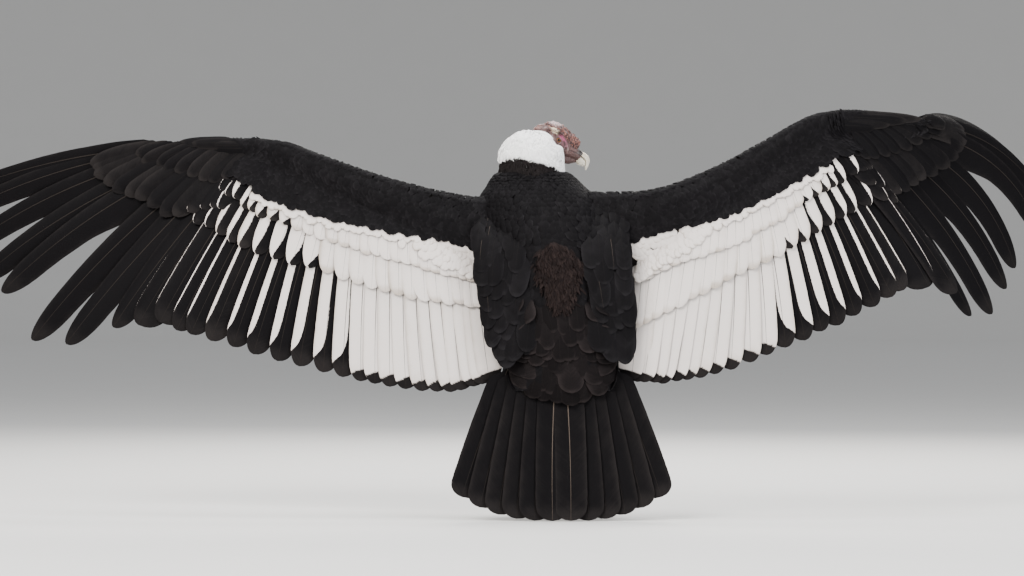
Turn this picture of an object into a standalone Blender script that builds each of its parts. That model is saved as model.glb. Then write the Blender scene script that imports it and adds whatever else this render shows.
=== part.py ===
"""Andean condor, an adult male that stands upright with both wings spread: a still, life-size model.

Metres, +Z up. +X is the bird's right, +Y is where its breast faces. The places below are measured
from the floor, with x = 0 near the middle of the rump, and the last step moves the origin to the
middle of the whole bird's footprint.
"""

import math

import bpy
import numpy as np
from mathutils import Matrix, Vector

# Clearances and thin edges
GAP = 0.0003
VANE_EDGE = 0.0008
DORSAL = np.array((0.0, -1.0, 0.2))

# Torso: height, centre x, centre y, half width, half depth of level sections
TORSO_SECTIONS = (
    (0.330, 0.006, -0.088, 0.116, 0.044),
    (0.360, 0.006, -0.066, 0.124, 0.070),
    (0.420, 0.004, -0.026, 0.132, 0.112),
    (0.520, -0.006, 0.012, 0.145, 0.133),
    (0.620, -0.016, 0.040, 0.150, 0.138),
    (0.690, -0.034, 0.058, 0.148, 0.128),
    (0.745, -0.048, 0.068, 0.136, 0.112),
    (0.785, -0.053, 0.074, 0.108, 0.094),
    (0.812, -0.060, 0.078, 0.083, 0.078),
)
TORSO_SIDES = 20
TORSO_RINGS = 12
SCAPULARS_A_ROW = 5
SCAPULAR_BREADTH = 0.062
SCAPULAR_LENGTH = 0.125
SCAPULAR_ROOT_OUT = 0.098
SCAPULAR_ROOT_TOP = 0.700
# The second tier of scapulars lies further in and on top of the first
SCAPULAR_TIER_INSET = 0.045
SCAPULAR_TIER_LIFT = 0.010
RUMP_COVERTS = 8
RUMP_COVERT_BREADTH = 0.050
RUMP_ROOT_HALF = 0.082
RUMP_ROOT_HEIGHT = 0.405
RUMP_TIP_HALF = 0.116
RUMP_TIP = (-0.152, 0.276)
# How deep a feather's root is sunk in the body
SUNK = 0.008

# Wings: secondaries and primaries, rooted from the elbow out to the tip of the digit
SECONDARIES = 20
PRIMARIES = 10
GREATER_COVERTS = 13
MEDIAN_COVERTS = 9
PRIMARY_COVERTS = 7
ALULA_FEATHERS = 2
SHINGLE = math.radians(11)
REMEX_BOW = 0.012
SECONDARY_BREADTH = 0.064
SECONDARY_SHAFT = 0.0032
PRIMARY_BREADTH = (0.088, 0.090, 0.090, 0.090, 0.088, 0.084, 0.082, 0.078, 0.074, 0.068)
# Sideways curve of each primary, as a share of its length
PRIMARY_BENDS = {
    "left": (0.012, 0.016, 0.020, 0.026, 0.036, 0.050, 0.055, 0.055, 0.050, 0.045),
    "right": (0.020, 0.040, 0.060, 0.080, 0.110, 0.140, 0.150, 0.140, 0.110, 0.080),
}
SECONDARY_BEND = 0.012
PRIMARY_SHAFT = 0.0046
GREATER_BREADTH = 0.060
MEDIAN_BREADTH = 0.064
PRIMARY_COVERT_BREADTH = 0.050
PRIMARY_COVERT_REACH = 0.32
ALULA_BREADTH = 0.028
# Lift of each row over the flight feathers, at its roots and at its tips
GREATER_LIFTS = (0.006, 0.0125)
MEDIAN_LIFTS = (0.011, 0.023)
PRIMARY_COVERT_LIFTS = (0.008, 0.0150)
# Thickness of the feathered arm and hand at their near and far ends, and how far back they reach over the quills
ARM_THICKNESS = (0.034, 0.020)
HAND_THICKNESS = (0.020, 0.012)
ARM_HEEL = 1.2
HAND_HEEL = 1.9
# Reach of the coverts over the flight feathers, as a share of their length, at the body and the wrist
GREATER_REACH = (0.50, 0.46)
MEDIAN_REACH = (0.23, 0.24)
MEDIAN_START = -0.14
WINGS = {
    "left": {
        "lead": ((-0.100, 0.036, 0.768), (-0.200, 0.018, 0.758), (-0.378, 0.030, 0.796),
                 (-0.570, 0.070, 0.861), (-0.655, 0.090, 0.891), (-0.700, 0.093, 0.898)),
        "roots": ((-0.090, 0.015, 0.590), (-0.198, -0.002, 0.601), (-0.311, 0.000, 0.658),
                  (-0.435, 0.030, 0.720), (-0.565, 0.060, 0.775), (-0.700, 0.090, 0.829)),
        "secondary_roots": ((-0.198, -0.002, 0.601), (-0.311, 0.000, 0.658),
                            (-0.435, 0.030, 0.720), (-0.565, 0.060, 0.775), (-0.686, 0.090, 0.829)),
        "secondary_tips": ((-0.166, -0.082, 0.322), (-0.250, -0.082, 0.298), (-0.380, -0.075, 0.308),
                           (-0.528, -0.060, 0.336), (-0.729, -0.030, 0.387), (-0.906, 0.000, 0.440)),
        "hand_lead": ((-0.640, 0.088, 0.886), (-0.763, 0.100, 0.900), (-0.859, 0.110, 0.899),
                      (-0.940, 0.120, 0.888)),
        "primary_roots": ((-0.705, 0.094, 0.848), (-0.763, 0.100, 0.860), (-0.847, 0.110, 0.870),
                          (-0.927, 0.120, 0.876)),
        "primary_tips": ((-0.944, 0.000, 0.460), (-0.998, 0.020, 0.455), (-1.059, 0.040, 0.447),
                         (-1.173, 0.060, 0.407), (-1.257, 0.080, 0.416), (-1.332, 0.100, 0.530),
                         (-1.392, 0.120, 0.554), (-1.449, 0.130, 0.617), (-1.467, 0.140, 0.706),
                         (-1.443, 0.140, 0.771)),
        "scapular_tips": ((-0.196, -0.091, 0.610), (-0.188, -0.106, 0.555), (-0.177, -0.118, 0.495),
                          (-0.168, -0.126, 0.430), (-0.148, -0.132, 0.366), (-0.112, -0.142, 0.360)),
    },
    "right": {
        "lead": ((-0.010, 0.036, 0.778), (0.095, 0.018, 0.770), (0.223, 0.010, 0.776),
                 (0.351, 0.030, 0.822), (0.480, 0.040, 0.889), (0.583, 0.050, 0.951), (0.630, 0.058, 0.960)),
        "roots": ((0.085, 0.015, 0.590), (0.193, -0.002, 0.601), (0.316, -0.010, 0.686),
                  (0.421, 0.010, 0.748), (0.512, 0.030, 0.820), (0.620, 0.050, 0.886)),
        "secondary_roots": ((0.193, -0.002, 0.601), (0.316, -0.010, 0.686), (0.421, 0.010, 0.748),
                            (0.512, 0.030, 0.820), (0.599, 0.050, 0.880)),
        "secondary_tips": ((0.166, -0.082, 0.325), (0.235, -0.085, 0.318), (0.345, -0.078, 0.335),
                           (0.503, -0.060, 0.390), (0.663, -0.030, 0.460), (0.810, 0.000, 0.531)),
        "hand_lead": ((0.560, 0.048, 0.940), (0.640, 0.065, 0.962), (0.719, 0.095, 0.966),
                      (0.847, 0.155, 0.954), (0.890, 0.178, 0.946)),
        "primary_roots": ((0.634, 0.058, 0.897), (0.693, 0.080, 0.908), (0.794, 0.130, 0.924),
                          (0.882, 0.170, 0.935)),
        "primary_tips": ((0.875, 0.030, 0.542), (0.946, 0.070, 0.530), (0.988, 0.130, 0.473),
                         (1.048, 0.200, 0.477), (1.094, 0.280, 0.538), (1.126, 0.350, 0.589),
                         (1.198, 0.420, 0.679), (1.221, 0.470, 0.755), (1.199, 0.520, 0.816),
                         (1.143, 0.550, 0.881)),
        "scapular_tips": ((0.155, -0.091, 0.615), (0.153, -0.106, 0.560), (0.156, -0.118, 0.505),
                          (0.163, -0.126, 0.440), (0.153, -0.132, 0.372), (0.118, -0.142, 0.362)),
    },
}

# Tail: twelve feathers fanned from a short base, the middle pair on top
TAIL_BASE_SECTIONS = (
    (0.3297, 0.006, -0.088, 0.114, 0.040),
    (0.308, 0.006, -0.096, 0.112, 0.028),
    (0.286, 0.006, -0.102, 0.108, 0.014),
)
TAIL_FEATHERS = 12
TAIL_ROOT_HALF = 0.104
TAIL_ROOT = (0.004, -0.098, 0.312)
TAIL_TIP_HALF = 0.232
TAIL_TIP_Y = (-0.160, -0.130)
TAIL_TIP_Z = (-0.004, 0.070)
TAIL_BREADTH = 0.074
TAIL_SHAFT = 0.0036
TAIL_BOW = -0.006

# Head, held level across and dipped, seen from its own eye: forward, to its right, and up
EYE_PLACE = (-0.0082, 0.112, 0.8927)
HEAD_DIP = math.radians(38)
HEAD_YAW = math.radians(15)
EYE_SPREAD = 0.0165
EYE_RADIUS = 0.0096
# Skull: distance forward of the eye, centre height, half width, half height
SKULL_SECTIONS = (
    (-0.060, -0.011, 0.008, 0.008),
    (-0.055, -0.010, 0.017, 0.016),
    (-0.042, -0.008, 0.0235, 0.0225),
    (-0.024, -0.006, 0.0265, 0.0255),
    (-0.006, -0.004, 0.0262, 0.0258),
    (0.012, -0.003, 0.0232, 0.0240),
    (0.028, -0.002, 0.0182, 0.0205),
    (0.042, 0.0008, 0.0150, 0.0172),
    (0.0540, 0.0038, 0.0136, 0.0156),
    (0.0640, 0.0058, 0.0126, 0.0146),
    (0.0690, 0.0062, 0.0120, 0.0138),
)
SKULL_SIDES = 16
# Folds of skin behind the eye and along the jaw: forward, out to the side and up, then thickness
SIDE_FOLDS = (
    (((-0.010, 0.0235, 0.013), (-0.026, 0.0240, 0.010), (-0.040, 0.0215, 0.000), (-0.050, 0.0150, -0.010)),
     0.0036),
    (((0.030, 0.0170, -0.010), (0.010, 0.0225, -0.015), (-0.010, 0.0245, -0.018), (-0.030, 0.0225, -0.020)),
     0.0034),
)
# Comb: distance forward of the eye, foot height, crest height, half thickness
COMB_SECTIONS = (
    (-0.0500, 0.002, 0.0085, 0.0036),
    (-0.0420, 0.003, 0.0236, 0.0074),
    (-0.0330, 0.004, 0.0314, 0.0088),
    (-0.0220, 0.006, 0.0366, 0.0090),
    (-0.0080, 0.009, 0.0396, 0.0092),
    (0.0100, 0.009, 0.0400, 0.0092),
    (0.0280, 0.009, 0.0396, 0.0096),
    (0.0420, 0.009, 0.0380, 0.0098),
    (0.0490, 0.010, 0.0348, 0.0088),
    (0.0532, 0.014, 0.0290, 0.0056),
)
# Bill: forward, height of the cutting edge, depth from there, half width, turn from upright in degrees
UPPER_BILL = (
    (0.0695, 0.0072, 0.0124, 0.0108, 2),
    (0.0760, 0.0080, 0.0126, 0.0104, 8),
    (0.0820, 0.0078, 0.0122, 0.0094, 18),
    (0.0880, 0.0056, 0.0106, 0.0080, 36),
    (0.0922, 0.0016, 0.0080, 0.0060, 56),
    (0.0955, -0.0036, 0.0058, 0.0042, 76),
    (0.0990, -0.0086, 0.0022, 0.0016, 94),
)
LOWER_BILL = (
    (0.0695, 0.0060, 0.0156, 0.0100, 0),
    (0.0760, 0.0068, 0.0158, 0.0092, 0),
    (0.0825, 0.0064, 0.0144, 0.0080, -4),
    (0.0880, 0.0042, 0.0104, 0.0062, -8),
    (0.0915, 0.0004, 0.0050, 0.0038, -12),
)
FLAT_SHARE = 0.12

# Neck and ruff
NECK_PATH = ((-0.066, 0.080, 0.800), (-0.068, 0.092, 0.840), (-0.064, 0.104, 0.872), (-0.046, 0.108, 0.897))
NECK_RADII = (0.041, 0.037, 0.031, 0.026)
RUFF_CENTRE = (-0.067, 0.070, 0.838)
RUFF_RADIUS = 0.081
RUFF_CORE = 0.86
RUFF_ROOT = 0.80
# Tiers of down: where each starts and ends, in degrees from the crown of the ruff, and its locks
RUFF_TIERS = ((6, 30, 5), (26, 56, 7), (50, 80, 8), (70, 100, 8))
RUFF_LOCK = 0.056
RUFF_LOCK_THICKNESS = 0.003

# Legs and feet, given for the right leg: the left is the same across the rump's middle
LEG_MIDDLE = 0.004
THIGH_PATH = ((0.056, 0.015, 0.470), (0.078, 0.045, 0.350), (0.085, 0.045, 0.250), (0.087, 0.008, 0.165),
              (0.088, -0.006, 0.124))
THIGH_RADII = (0.040, 0.058, 0.047, 0.030, 0.019)
TARSUS_PATH = ((0.088, -0.004, 0.1357), (0.088, 0.002, 0.112), (0.090, 0.018, 0.062), (0.091, 0.030, 0.022))
TARSUS_RADII = (0.0165, 0.0125, 0.0115, 0.0145)
# Toes: direction from straight ahead, length to the claw, root radius, claw length
TOES = ((-4, 0.108, 0.0105, 0.022), (24, 0.078, 0.0092, 0.020), (-31, 0.080, 0.0092, 0.019),
        (196, 0.026, 0.0075, 0.014))
TOE_RADIUS_DROP = 0.72

COLOURS = {
    "feather_black": ((0.022, 0.021, 0.022, 1), 0.62),
    "feather_white": ((0.78, 0.77, 0.74, 1), 0.70),
    "down_white": ((0.86, 0.85, 0.82, 1), 0.85),
    "skin_pink": ((0.46, 0.20, 0.17, 1), 0.55),
    "comb_red": ((0.38, 0.16, 0.14, 1), 0.60),
    "bill_ivory": ((0.80, 0.74, 0.60, 1), 0.35),
    "eye_brown": ((0.09, 0.04, 0.02, 1), 0.08),
    "foot_grey": ((0.22, 0.21, 0.21, 1), 0.65),
    "claw_dark": ((0.06, 0.055, 0.05, 1), 0.40),
}


def clear_scene():
    for obj in list(bpy.data.objects):
        bpy.data.objects.remove(obj)


def material(name):
    found = bpy.data.materials.get(name)
    if found:
        return found
    colour, roughness = COLOURS[name]
    made = bpy.data.materials.new(name)
    made.use_nodes = True
    shader = made.node_tree.nodes["Principled BSDF"]
    shader.inputs["Base Color"].default_value = colour
    shader.inputs["Roughness"].default_value = roughness
    shader.inputs["Metallic"].default_value = 0.0
    return made


def unit(vector):
    vector = np.asarray(vector, float)
    return vector / np.linalg.norm(vector)


def smooth(points, t):
    """The point at t, from 0 to 1, on a smooth curve through the points, given as rows."""
    points = np.asarray(points, float)
    last = len(points) - 1
    place = min(max(t, 0.0), 1.0) * last
    i = min(int(place), last - 1)
    f = place - i
    before, start, end, after = points[max(i - 1, 0)], points[i], points[i + 1], points[min(i + 2, last)]
    bend = 2 * before - 5 * start + 4 * end - after
    turn = 3 * start - before - 3 * end + after
    return 0.5 * (2 * start + (end - before) * f + bend * f**2 + turn * f**3)


def mesh_object(name, points, faces, colour):
    mesh = bpy.data.meshes.new(name)
    mesh.from_pydata([tuple(point) for point in points], [], [tuple(face) for face in faces])
    mesh.validate()
    obj = bpy.data.objects.new(name, mesh)
    bpy.context.scene.collection.objects.link(obj)
    mesh.materials.append(material(colour))
    face_outward(obj)
    return obj


def signed_volume(obj):
    obj.data.calc_loop_triangles()
    points = [vertex.co for vertex in obj.data.vertices]
    corners = (tri.vertices for tri in obj.data.loop_triangles)
    return sum(points[a].dot(points[b].cross(points[c])) for a, b, c in corners)


def face_outward(obj):
    if signed_volume(obj) < 0:
        obj.data.flip_normals()


def loft(name, rings, colour):
    """A closed body through rings of points, all of one count, with a flat cap at each end."""
    count = len(rings[0])
    points = [point for ring in rings for point in ring]
    faces = []
    for i in range(len(rings) - 1):
        for k in range(count):
            n = (k + 1) % count
            a, b, c, d = i * count + k, i * count + n, (i + 1) * count + n, (i + 1) * count + k
            faces += [(a, b, c), (a, c, d)]
    faces.append(tuple(range(count))[::-1])
    faces.append(tuple((len(rings) - 1) * count + k for k in range(count)))
    return mesh_object(name, points, faces, colour)


def oval(centre, across, up, half_across, half_up, count):
    """A ring of points on an ellipse, with a flat side at its foot."""
    turn = [2 * math.pi * (k + 0.5) / count for k in range(count)]
    centre, across, up = np.asarray(centre), unit(across), unit(up)
    return [centre + across * half_across * math.sin(a) + up * half_up * math.cos(a) for a in turn]


def tube(name, path, radii, colour, count=12, steps=8, grow=0.0, wide=1.0, side=(1, 0, 0)):
    """A round body along a smooth path, with its radius smooth between the radii given."""
    rings = []
    for step in range(steps + 1):
        t = step / steps
        centre = smooth(path, t)
        along = unit(smooth(path, min(t + 0.02, 1)) - smooth(path, max(t - 0.02, 0)))
        across = unit(np.cross(along, np.cross(side, along)))
        radius = smooth([[r] for r in radii], t)[0] + grow
        rings.append(oval(centre, across, np.cross(across, along), radius * wide, radius, count))
    return loft(name, rings, colour)


# Rows along a vane: distance from the root, and breadth there as a share of the full breadth
FLIGHT_FORM = ((0.0, 0.16), (0.22, 0.9), (0.92, 0.94), (1.0, 0.44))
FINGER_FORM = ((0.0, 0.2), (0.2, 0.96), (0.52, 0.84), (0.88, 0.6), (1.0, 0.28))
COVERT_FORM = ((0.0, 0.34), (0.66, 1.0), (1.0, 0.5))
LOCK_FORM = ((0.0, 0.6), (0.55, 1.0), (1.0, 0.3))


def vane(root, tip, outward, breadth, shaft, form, share=0.4, tilt=SHINGLE, bow=0.0, bend=0.0, dorsal=DORSAL,
         thick=VANE_EDGE):
    """One feather: a thin closed blade whose outer edge is raised, ridged along its shaft if it has one.

    share is how much of the breadth lies on the outer side, bow lifts its middle, and bend curves it outward.
    """
    root, tip = np.asarray(root, float), np.asarray(tip, float)
    along = unit(tip - root)
    across = unit(np.asarray(outward) - along * np.dot(outward, along))
    normal = np.cross(along, across)
    if np.dot(normal, dorsal) < 0:
        normal = -normal
    slanted = across * math.cos(tilt) + normal * math.sin(tilt)
    facing = normal * math.cos(tilt) - across * math.sin(tilt)
    edge = thick / 2
    points = []
    for u, wide in form:
        curve = 4 * u * (1 - u)
        middle = root + (tip - root) * u + normal * bow * curve + across * bend * curve
        outer = middle + slanted * breadth * wide * share
        inner = middle - slanted * breadth * wide * (1 - share)
        if shaft:
            ridge = shaft / 2 * (1 - 0.75 * u)
            points += [outer + facing * edge, middle + facing * ridge, inner + facing * edge]
            points += [inner - facing * edge, middle - facing * ridge, outer - facing * edge]
        else:
            points += [outer + facing * edge, inner + facing * edge, inner - facing * edge, outer - facing * edge]
    count = 6 if shaft else 4
    faces = []
    for i in range(len(form) - 1):
        for k in range(count):
            n = (k + 1) % count
            a, b, c, d = i * count + k, i * count + n, (i + 1) * count + n, (i + 1) * count + k
            # The upper and the lower face take the same diagonal, so a curved blade keeps its thickness.
            upper = k < count // 2 - 1
            faces += [(a, b, c), (a, c, d)] if upper else [(a, b, d), (b, c, d)]
    end = (len(form) - 1) * count
    if shaft:
        for at, turn in ((0, -1), (end, 1)):
            caps = [(at, at + 1, at + 4), (at, at + 4, at + 5), (at + 1, at + 2, at + 3), (at + 1, at + 3, at + 4)]
            faces += [cap[::turn] for cap in caps]
    else:
        for at, turn in ((0, -1), (end, 1)):
            faces += [cap[::turn] for cap in ((at, at + 1, at + 2), (at, at + 2, at + 3))]
    return mesh_object("vane", points, faces, "feather_black")


def applied(obj, modifier_name):
    """Gives the object its modified mesh for good."""
    bpy.context.view_layer.update()
    graph = bpy.context.evaluated_depsgraph_get()
    mesh = bpy.data.meshes.new_from_object(obj.evaluated_get(graph))
    obj.modifiers.remove(obj.modifiers[modifier_name])
    obj.data = mesh


def keep_largest(obj):
    """Drops every closed surface of the object but the one that reaches furthest."""
    mesh = obj.data
    parent = list(range(len(mesh.vertices)))

    def top(i):
        while parent[i] != i:
            parent[i] = parent[parent[i]]
            i = parent[i]
        return i

    for edge in mesh.edges:
        parent[top(edge.vertices[0])] = top(edge.vertices[1])
    groups = {}
    for polygon in mesh.polygons:
        groups.setdefault(top(polygon.vertices[0]), []).append(polygon)
    if len(groups) < 2:
        return

    def reach(polygons):
        points = np.array([mesh.vertices[i].co for polygon in polygons for i in polygon.vertices])
        return float(np.linalg.norm(points.max(axis=0) - points.min(axis=0)))

    largest = max(groups.values(), key=reach)
    used = sorted({i for polygon in largest for i in polygon.vertices})
    place = {old: new for new, old in enumerate(used)}
    kept = bpy.data.meshes.new(mesh.name)
    kept.from_pydata(
        [tuple(mesh.vertices[i].co) for i in used], [], [[place[i] for i in p.vertices] for p in largest]
    )
    kept.materials.append(mesh.materials[0])
    obj.data = kept


def fuse(base, pieces):
    """One Boolean union of the base with all the pieces, which are then removed."""
    collection = bpy.data.collections.new("pieces")
    for piece in pieces:
        collection.objects.link(piece)
    modifier = base.modifiers.new("Union", "BOOLEAN")
    modifier.operand_type = "COLLECTION"
    modifier.collection = collection
    modifier.operation = "UNION"
    modifier.solver = "MANIFOLD"
    applied(base, "Union")
    for piece in pieces:
        bpy.data.objects.remove(piece)
    bpy.data.collections.remove(collection)
    keep_largest(base)
    return base


def carve(base, cutter):
    """Takes the cutter's space out of the base, and removes the cutter."""
    modifier = base.modifiers.new("Cut", "BOOLEAN")
    modifier.object = cutter
    modifier.operation = "DIFFERENCE"
    modifier.solver = "MANIFOLD"
    applied(base, "Cut")
    bpy.data.objects.remove(cutter)
    keep_largest(base)
    return base


def slab(point, direction, reach=2.0):
    """A large box whose near face passes through the point and whose body lies along the direction."""
    along = Vector(unit(direction))
    turn = along.to_track_quat("Z", "Y").to_matrix().to_4x4()
    place = Matrix.Translation(Vector(point) + along * reach) @ turn
    corners = [(x, y, z) for x in (-reach, reach) for y in (-reach, reach) for z in (-reach, reach)]
    faces = ((0, 1, 3, 2), (4, 6, 7, 5), (0, 4, 5, 1), (2, 3, 7, 6), (0, 2, 6, 4), (1, 5, 7, 3))
    return mesh_object("slab", [place @ Vector(corner) for corner in corners], faces, "feather_black")


# Torso
def torso_ring(t, grow=0.0):
    z, x, y, wide, deep = smooth(TORSO_SECTIONS, t)
    return oval((x, y, z), (1, 0, 0), (0, -1, 0), wide + grow, deep + grow, TORSO_SIDES)


def torso_body(grow=0.0):
    rings = [torso_ring(step / TORSO_RINGS, grow) for step in range(TORSO_RINGS + 1)]
    if grow:
        for point in rings[0]:
            point[2] -= grow
        for point in rings[-1]:
            point[2] += grow
    return loft("torso", rings, "feather_black")


def back_at(x, z):
    """The torso's back surface at a height and a distance across."""
    heights = [row[0] for row in TORSO_SECTIONS]
    t = np.interp(z, heights, np.linspace(0, 1, len(heights)))
    _, middle, y, wide, deep = smooth(TORSO_SECTIONS, t)
    across = min(abs(x - middle) / wide, 0.98)
    return y - deep * math.sqrt(1 - across**2)


def scapulars(side):
    """Shoulder feathers in two tiers that hang from the back's edge over the folded base of the wing."""
    sign = -1 if side == "left" else 1
    tips = WINGS[side]["scapular_tips"]
    made = []
    bottom, top = TORSO_SECTIONS[0][0], TORSO_SECTIONS[-1][0]
    for tier in range(2):
        inset, lift = SCAPULAR_TIER_INSET * tier, SCAPULAR_TIER_LIFT * tier
        for k in range(SCAPULARS_A_ROW):
            t = (k + 0.5 * tier) / (SCAPULARS_A_ROW - 0.5)
            tip = smooth(tips, t) + np.array((-sign * inset, -lift, lift))
            root_z = min(tip[2] + SCAPULAR_LENGTH, SCAPULAR_ROOT_TOP)
            middle_x = smooth(TORSO_SECTIONS, (root_z - bottom) / (top - bottom))[1]
            root_x = middle_x + sign * (SCAPULAR_ROOT_OUT - inset)
            root = np.array((root_x, back_at(root_x, root_z) + SUNK, root_z))
            made.append(vane(root, tip, (sign, 0.5, 0), SCAPULAR_BREADTH, 0, COVERT_FORM,
                             share=0.5, tilt=math.radians(-4), bow=0.014))
    return made


def rump_coverts():
    """The row over the tail's roots, longest in the middle."""
    made = []
    middle_x = TORSO_SECTIONS[0][1]
    for k in range(RUMP_COVERTS):
        across = 2 * k / (RUMP_COVERTS - 1) - 1
        root_x = middle_x + RUMP_ROOT_HALF * across
        root = (root_x, back_at(root_x, RUMP_ROOT_HEIGHT) + SUNK, RUMP_ROOT_HEIGHT)
        tip = (middle_x + RUMP_TIP_HALF * across, RUMP_TIP[0] + 0.012 * across**2, RUMP_TIP[1] + 0.034 * across**2)
        made.append(vane(root, tip, (1, 0, 0), RUMP_COVERT_BREADTH, 0, COVERT_FORM, share=0.5,
                         tilt=math.radians(5)))
    return made


def make_torso():
    return fuse(torso_body(), scapulars("left") + scapulars("right") + rump_coverts())


# Wings
class Wing:
    """The lie of one wing's feathers, numbered from the body out."""

    def __init__(self, side):
        self.side = side
        self.sign = -1 if side == "left" else 1
        plan = WINGS[side]
        self.plan = plan
        inner = [k / (SECONDARIES - 1) for k in range(SECONDARIES)]
        outer = [k / (PRIMARIES - 1) for k in range(PRIMARIES)]
        self.roots = [smooth(plan["secondary_roots"], t) for t in inner]
        self.roots += [smooth(plan["primary_roots"], t) for t in outer]
        self.tips = [smooth(plan["secondary_tips"], t) for t in inner]
        self.tips += [np.array(tip) for tip in plan["primary_tips"]]

    def middle(self, k):
        return self.roots[k] + (self.tips[k] - self.roots[k]) * 0.6

    def outward(self, k):
        last = len(self.roots) - 1
        return unit(self.middle(min(k + 1, last)) - self.middle(max(k - 1, 0)))

    def normal(self, k):
        facing = unit(np.cross(self.tips[k] - self.roots[k], self.outward(k)))
        return facing if np.dot(facing, DORSAL) > 0 else -facing

    def flight_feather(self, k):
        primary = k - SECONDARIES
        length = float(np.linalg.norm(self.tips[k] - self.roots[k]))
        if primary < 0:
            return vane(self.roots[k], self.tips[k], self.outward(k), SECONDARY_BREADTH, SECONDARY_SHAFT,
                        FLIGHT_FORM, share=0.42, bow=REMEX_BOW, bend=SECONDARY_BEND * length)
        form = FLIGHT_FORM if primary < 2 else FINGER_FORM
        return vane(self.roots[k], self.tips[k], self.outward(k), PRIMARY_BREADTH[primary], PRIMARY_SHAFT, form,
                    share=0.34, bow=REMEX_BOW, bend=PRIMARY_BENDS[self.side][primary] * length)

    def over(self, place, reach, lift):
        """A point over the flight feathers: place counts them from the body, reach runs from root to tip."""
        k = min(int(place), len(self.roots) - 2)
        f = place - k
        root = self.roots[k] * (1 - f) + self.roots[k + 1] * f
        tip = self.tips[k] * (1 - f) + self.tips[k + 1] * f
        rise = REMEX_BOW * 4 * reach * (1 - reach) if reach > 0 else 0.0
        return root + (tip - root) * reach + self.normal(int(round(place))) * (rise + lift)

    def covert(self, place, start, reach, lifts, breadth):
        """A feather over the flight feathers, its root in the arm and its tip lifted clear of them."""
        return vane(self.over(place, start, lifts[0]), self.over(place, reach, lifts[1]),
                    self.outward(int(round(place))), breadth, 0, COVERT_FORM, share=0.45, bow=0.005)

    def greater_coverts(self):
        made = []
        for i in range(GREATER_COVERTS):
            t = i / (GREATER_COVERTS - 1)
            reach = GREATER_REACH[0] + (GREATER_REACH[1] - GREATER_REACH[0]) * t
            made.append(self.covert(t * (SECONDARIES - 1), 0.02, reach, GREATER_LIFTS, GREATER_BREADTH))
        return made

    def median_coverts(self):
        made = []
        for i in range(MEDIAN_COVERTS):
            t = i / (MEDIAN_COVERTS - 1)
            reach = MEDIAN_REACH[0] + (MEDIAN_REACH[1] - MEDIAN_REACH[0]) * t
            place = t * (SECONDARIES - 1)
            made.append(self.covert(place, MEDIAN_START, reach, MEDIAN_LIFTS, MEDIAN_BREADTH))
        return made

    def primary_coverts(self):
        made = []
        for i in range(PRIMARY_COVERTS):
            place = SECONDARIES + (PRIMARIES - 1) * i / (PRIMARY_COVERTS - 1)
            breadth = PRIMARY_COVERT_BREADTH - 0.001 * i
            made.append(self.covert(place, 0.02, PRIMARY_COVERT_REACH + 0.005 * i, PRIMARY_COVERT_LIFTS, breadth))
        return made

    def alula(self):
        """Small feathers of the thumb, along the hand's leading edge."""
        made = []
        lead = self.plan["hand_lead"]
        facing = self.normal(SECONDARIES + PRIMARIES - 3)
        for i in range(ALULA_FEATHERS):
            root = smooth(lead, 0.16) - np.array((0, 0, 0.012 + 0.009 * i))
            tip = smooth(lead, 0.72 - 0.1 * i) - np.array((0, 0, 0.016 + 0.013 * i))
            lift = facing * (0.020 - 0.002 * i)
            made.append(vane(root + lift * 0.5, tip + lift, (0, 0, 1), ALULA_BREADTH, 0, COVERT_FORM, share=0.4))
        return made

    def flesh(self, name, lead, roots, thickness, steps, heel):
        """The feathered arm or hand: a wing section from the leading edge back past the quills by the heel."""
        rings = []
        # Distance back from the leading edge, with the quills at 1, and height as a share of the thickness
        outline = ((0.0, 0.0), (0.12, 0.55), (0.45, 0.8), (0.85, 0.66), (heel, 0.16),
                   (heel, -0.14), (0.8, -0.52), (0.38, -0.6), (0.1, -0.46))
        for step in range(steps + 1):
            t = step / steps
            front, back = smooth(lead, t), smooth(roots, t)
            along = smooth(lead, min(t + 0.03, 1)) - smooth(lead, max(t - 0.03, 0))
            normal = unit(np.cross(back - front, along))
            if np.dot(normal, DORSAL) < 0:
                normal = -normal
            thick = thickness[0] + (thickness[1] - thickness[0]) * t
            rings.append([front + (back - front) * x + normal * thick * h for x, h in outline])
        return loft(name, rings, "feather_black")

    def parting(self):
        """A point on the plane that parts the arm from the hand, and the way that it faces, outward."""
        k = SECONDARIES - 1
        point = (self.roots[k] + self.roots[k + 1]) / 2
        down = unit(self.tips[k] - self.roots[k]) + unit(self.tips[k + 1] - self.roots[k + 1])
        facing = unit(np.cross(down, self.normal(k)))
        return point, facing if np.dot(facing, self.outward(k)) > 0 else -facing

    def make_arm(self):
        plan = self.plan
        arm = self.flesh(f"wing_{self.side}_arm", plan["lead"], plan["roots"], ARM_THICKNESS, 9, ARM_HEEL)
        pieces = [self.flight_feather(k) for k in range(SECONDARIES)]
        fuse(arm, pieces + self.greater_coverts() + self.median_coverts())
        point, facing = self.parting()
        carve(arm, slab(point - facing * GAP, facing))
        return carve(arm, torso_body(GAP))

    def make_hand(self):
        lead = self.plan["hand_lead"]
        hand = self.flesh(f"wing_{self.side}_hand", lead, self.hand_roots(), HAND_THICKNESS, 6, HAND_HEEL)
        pieces = [self.flight_feather(SECONDARIES + k) for k in range(PRIMARIES)]
        fuse(hand, pieces + self.primary_coverts() + self.alula())
        point, facing = self.parting()
        return carve(hand, slab(point + facing * GAP, -facing))

    def hand_roots(self):
        start = np.array(self.plan["primary_roots"][0])
        step = np.array(self.plan["primary_roots"][1]) - start
        return [start - step * 0.9] + [np.array(row) for row in self.plan["primary_roots"]]


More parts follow.
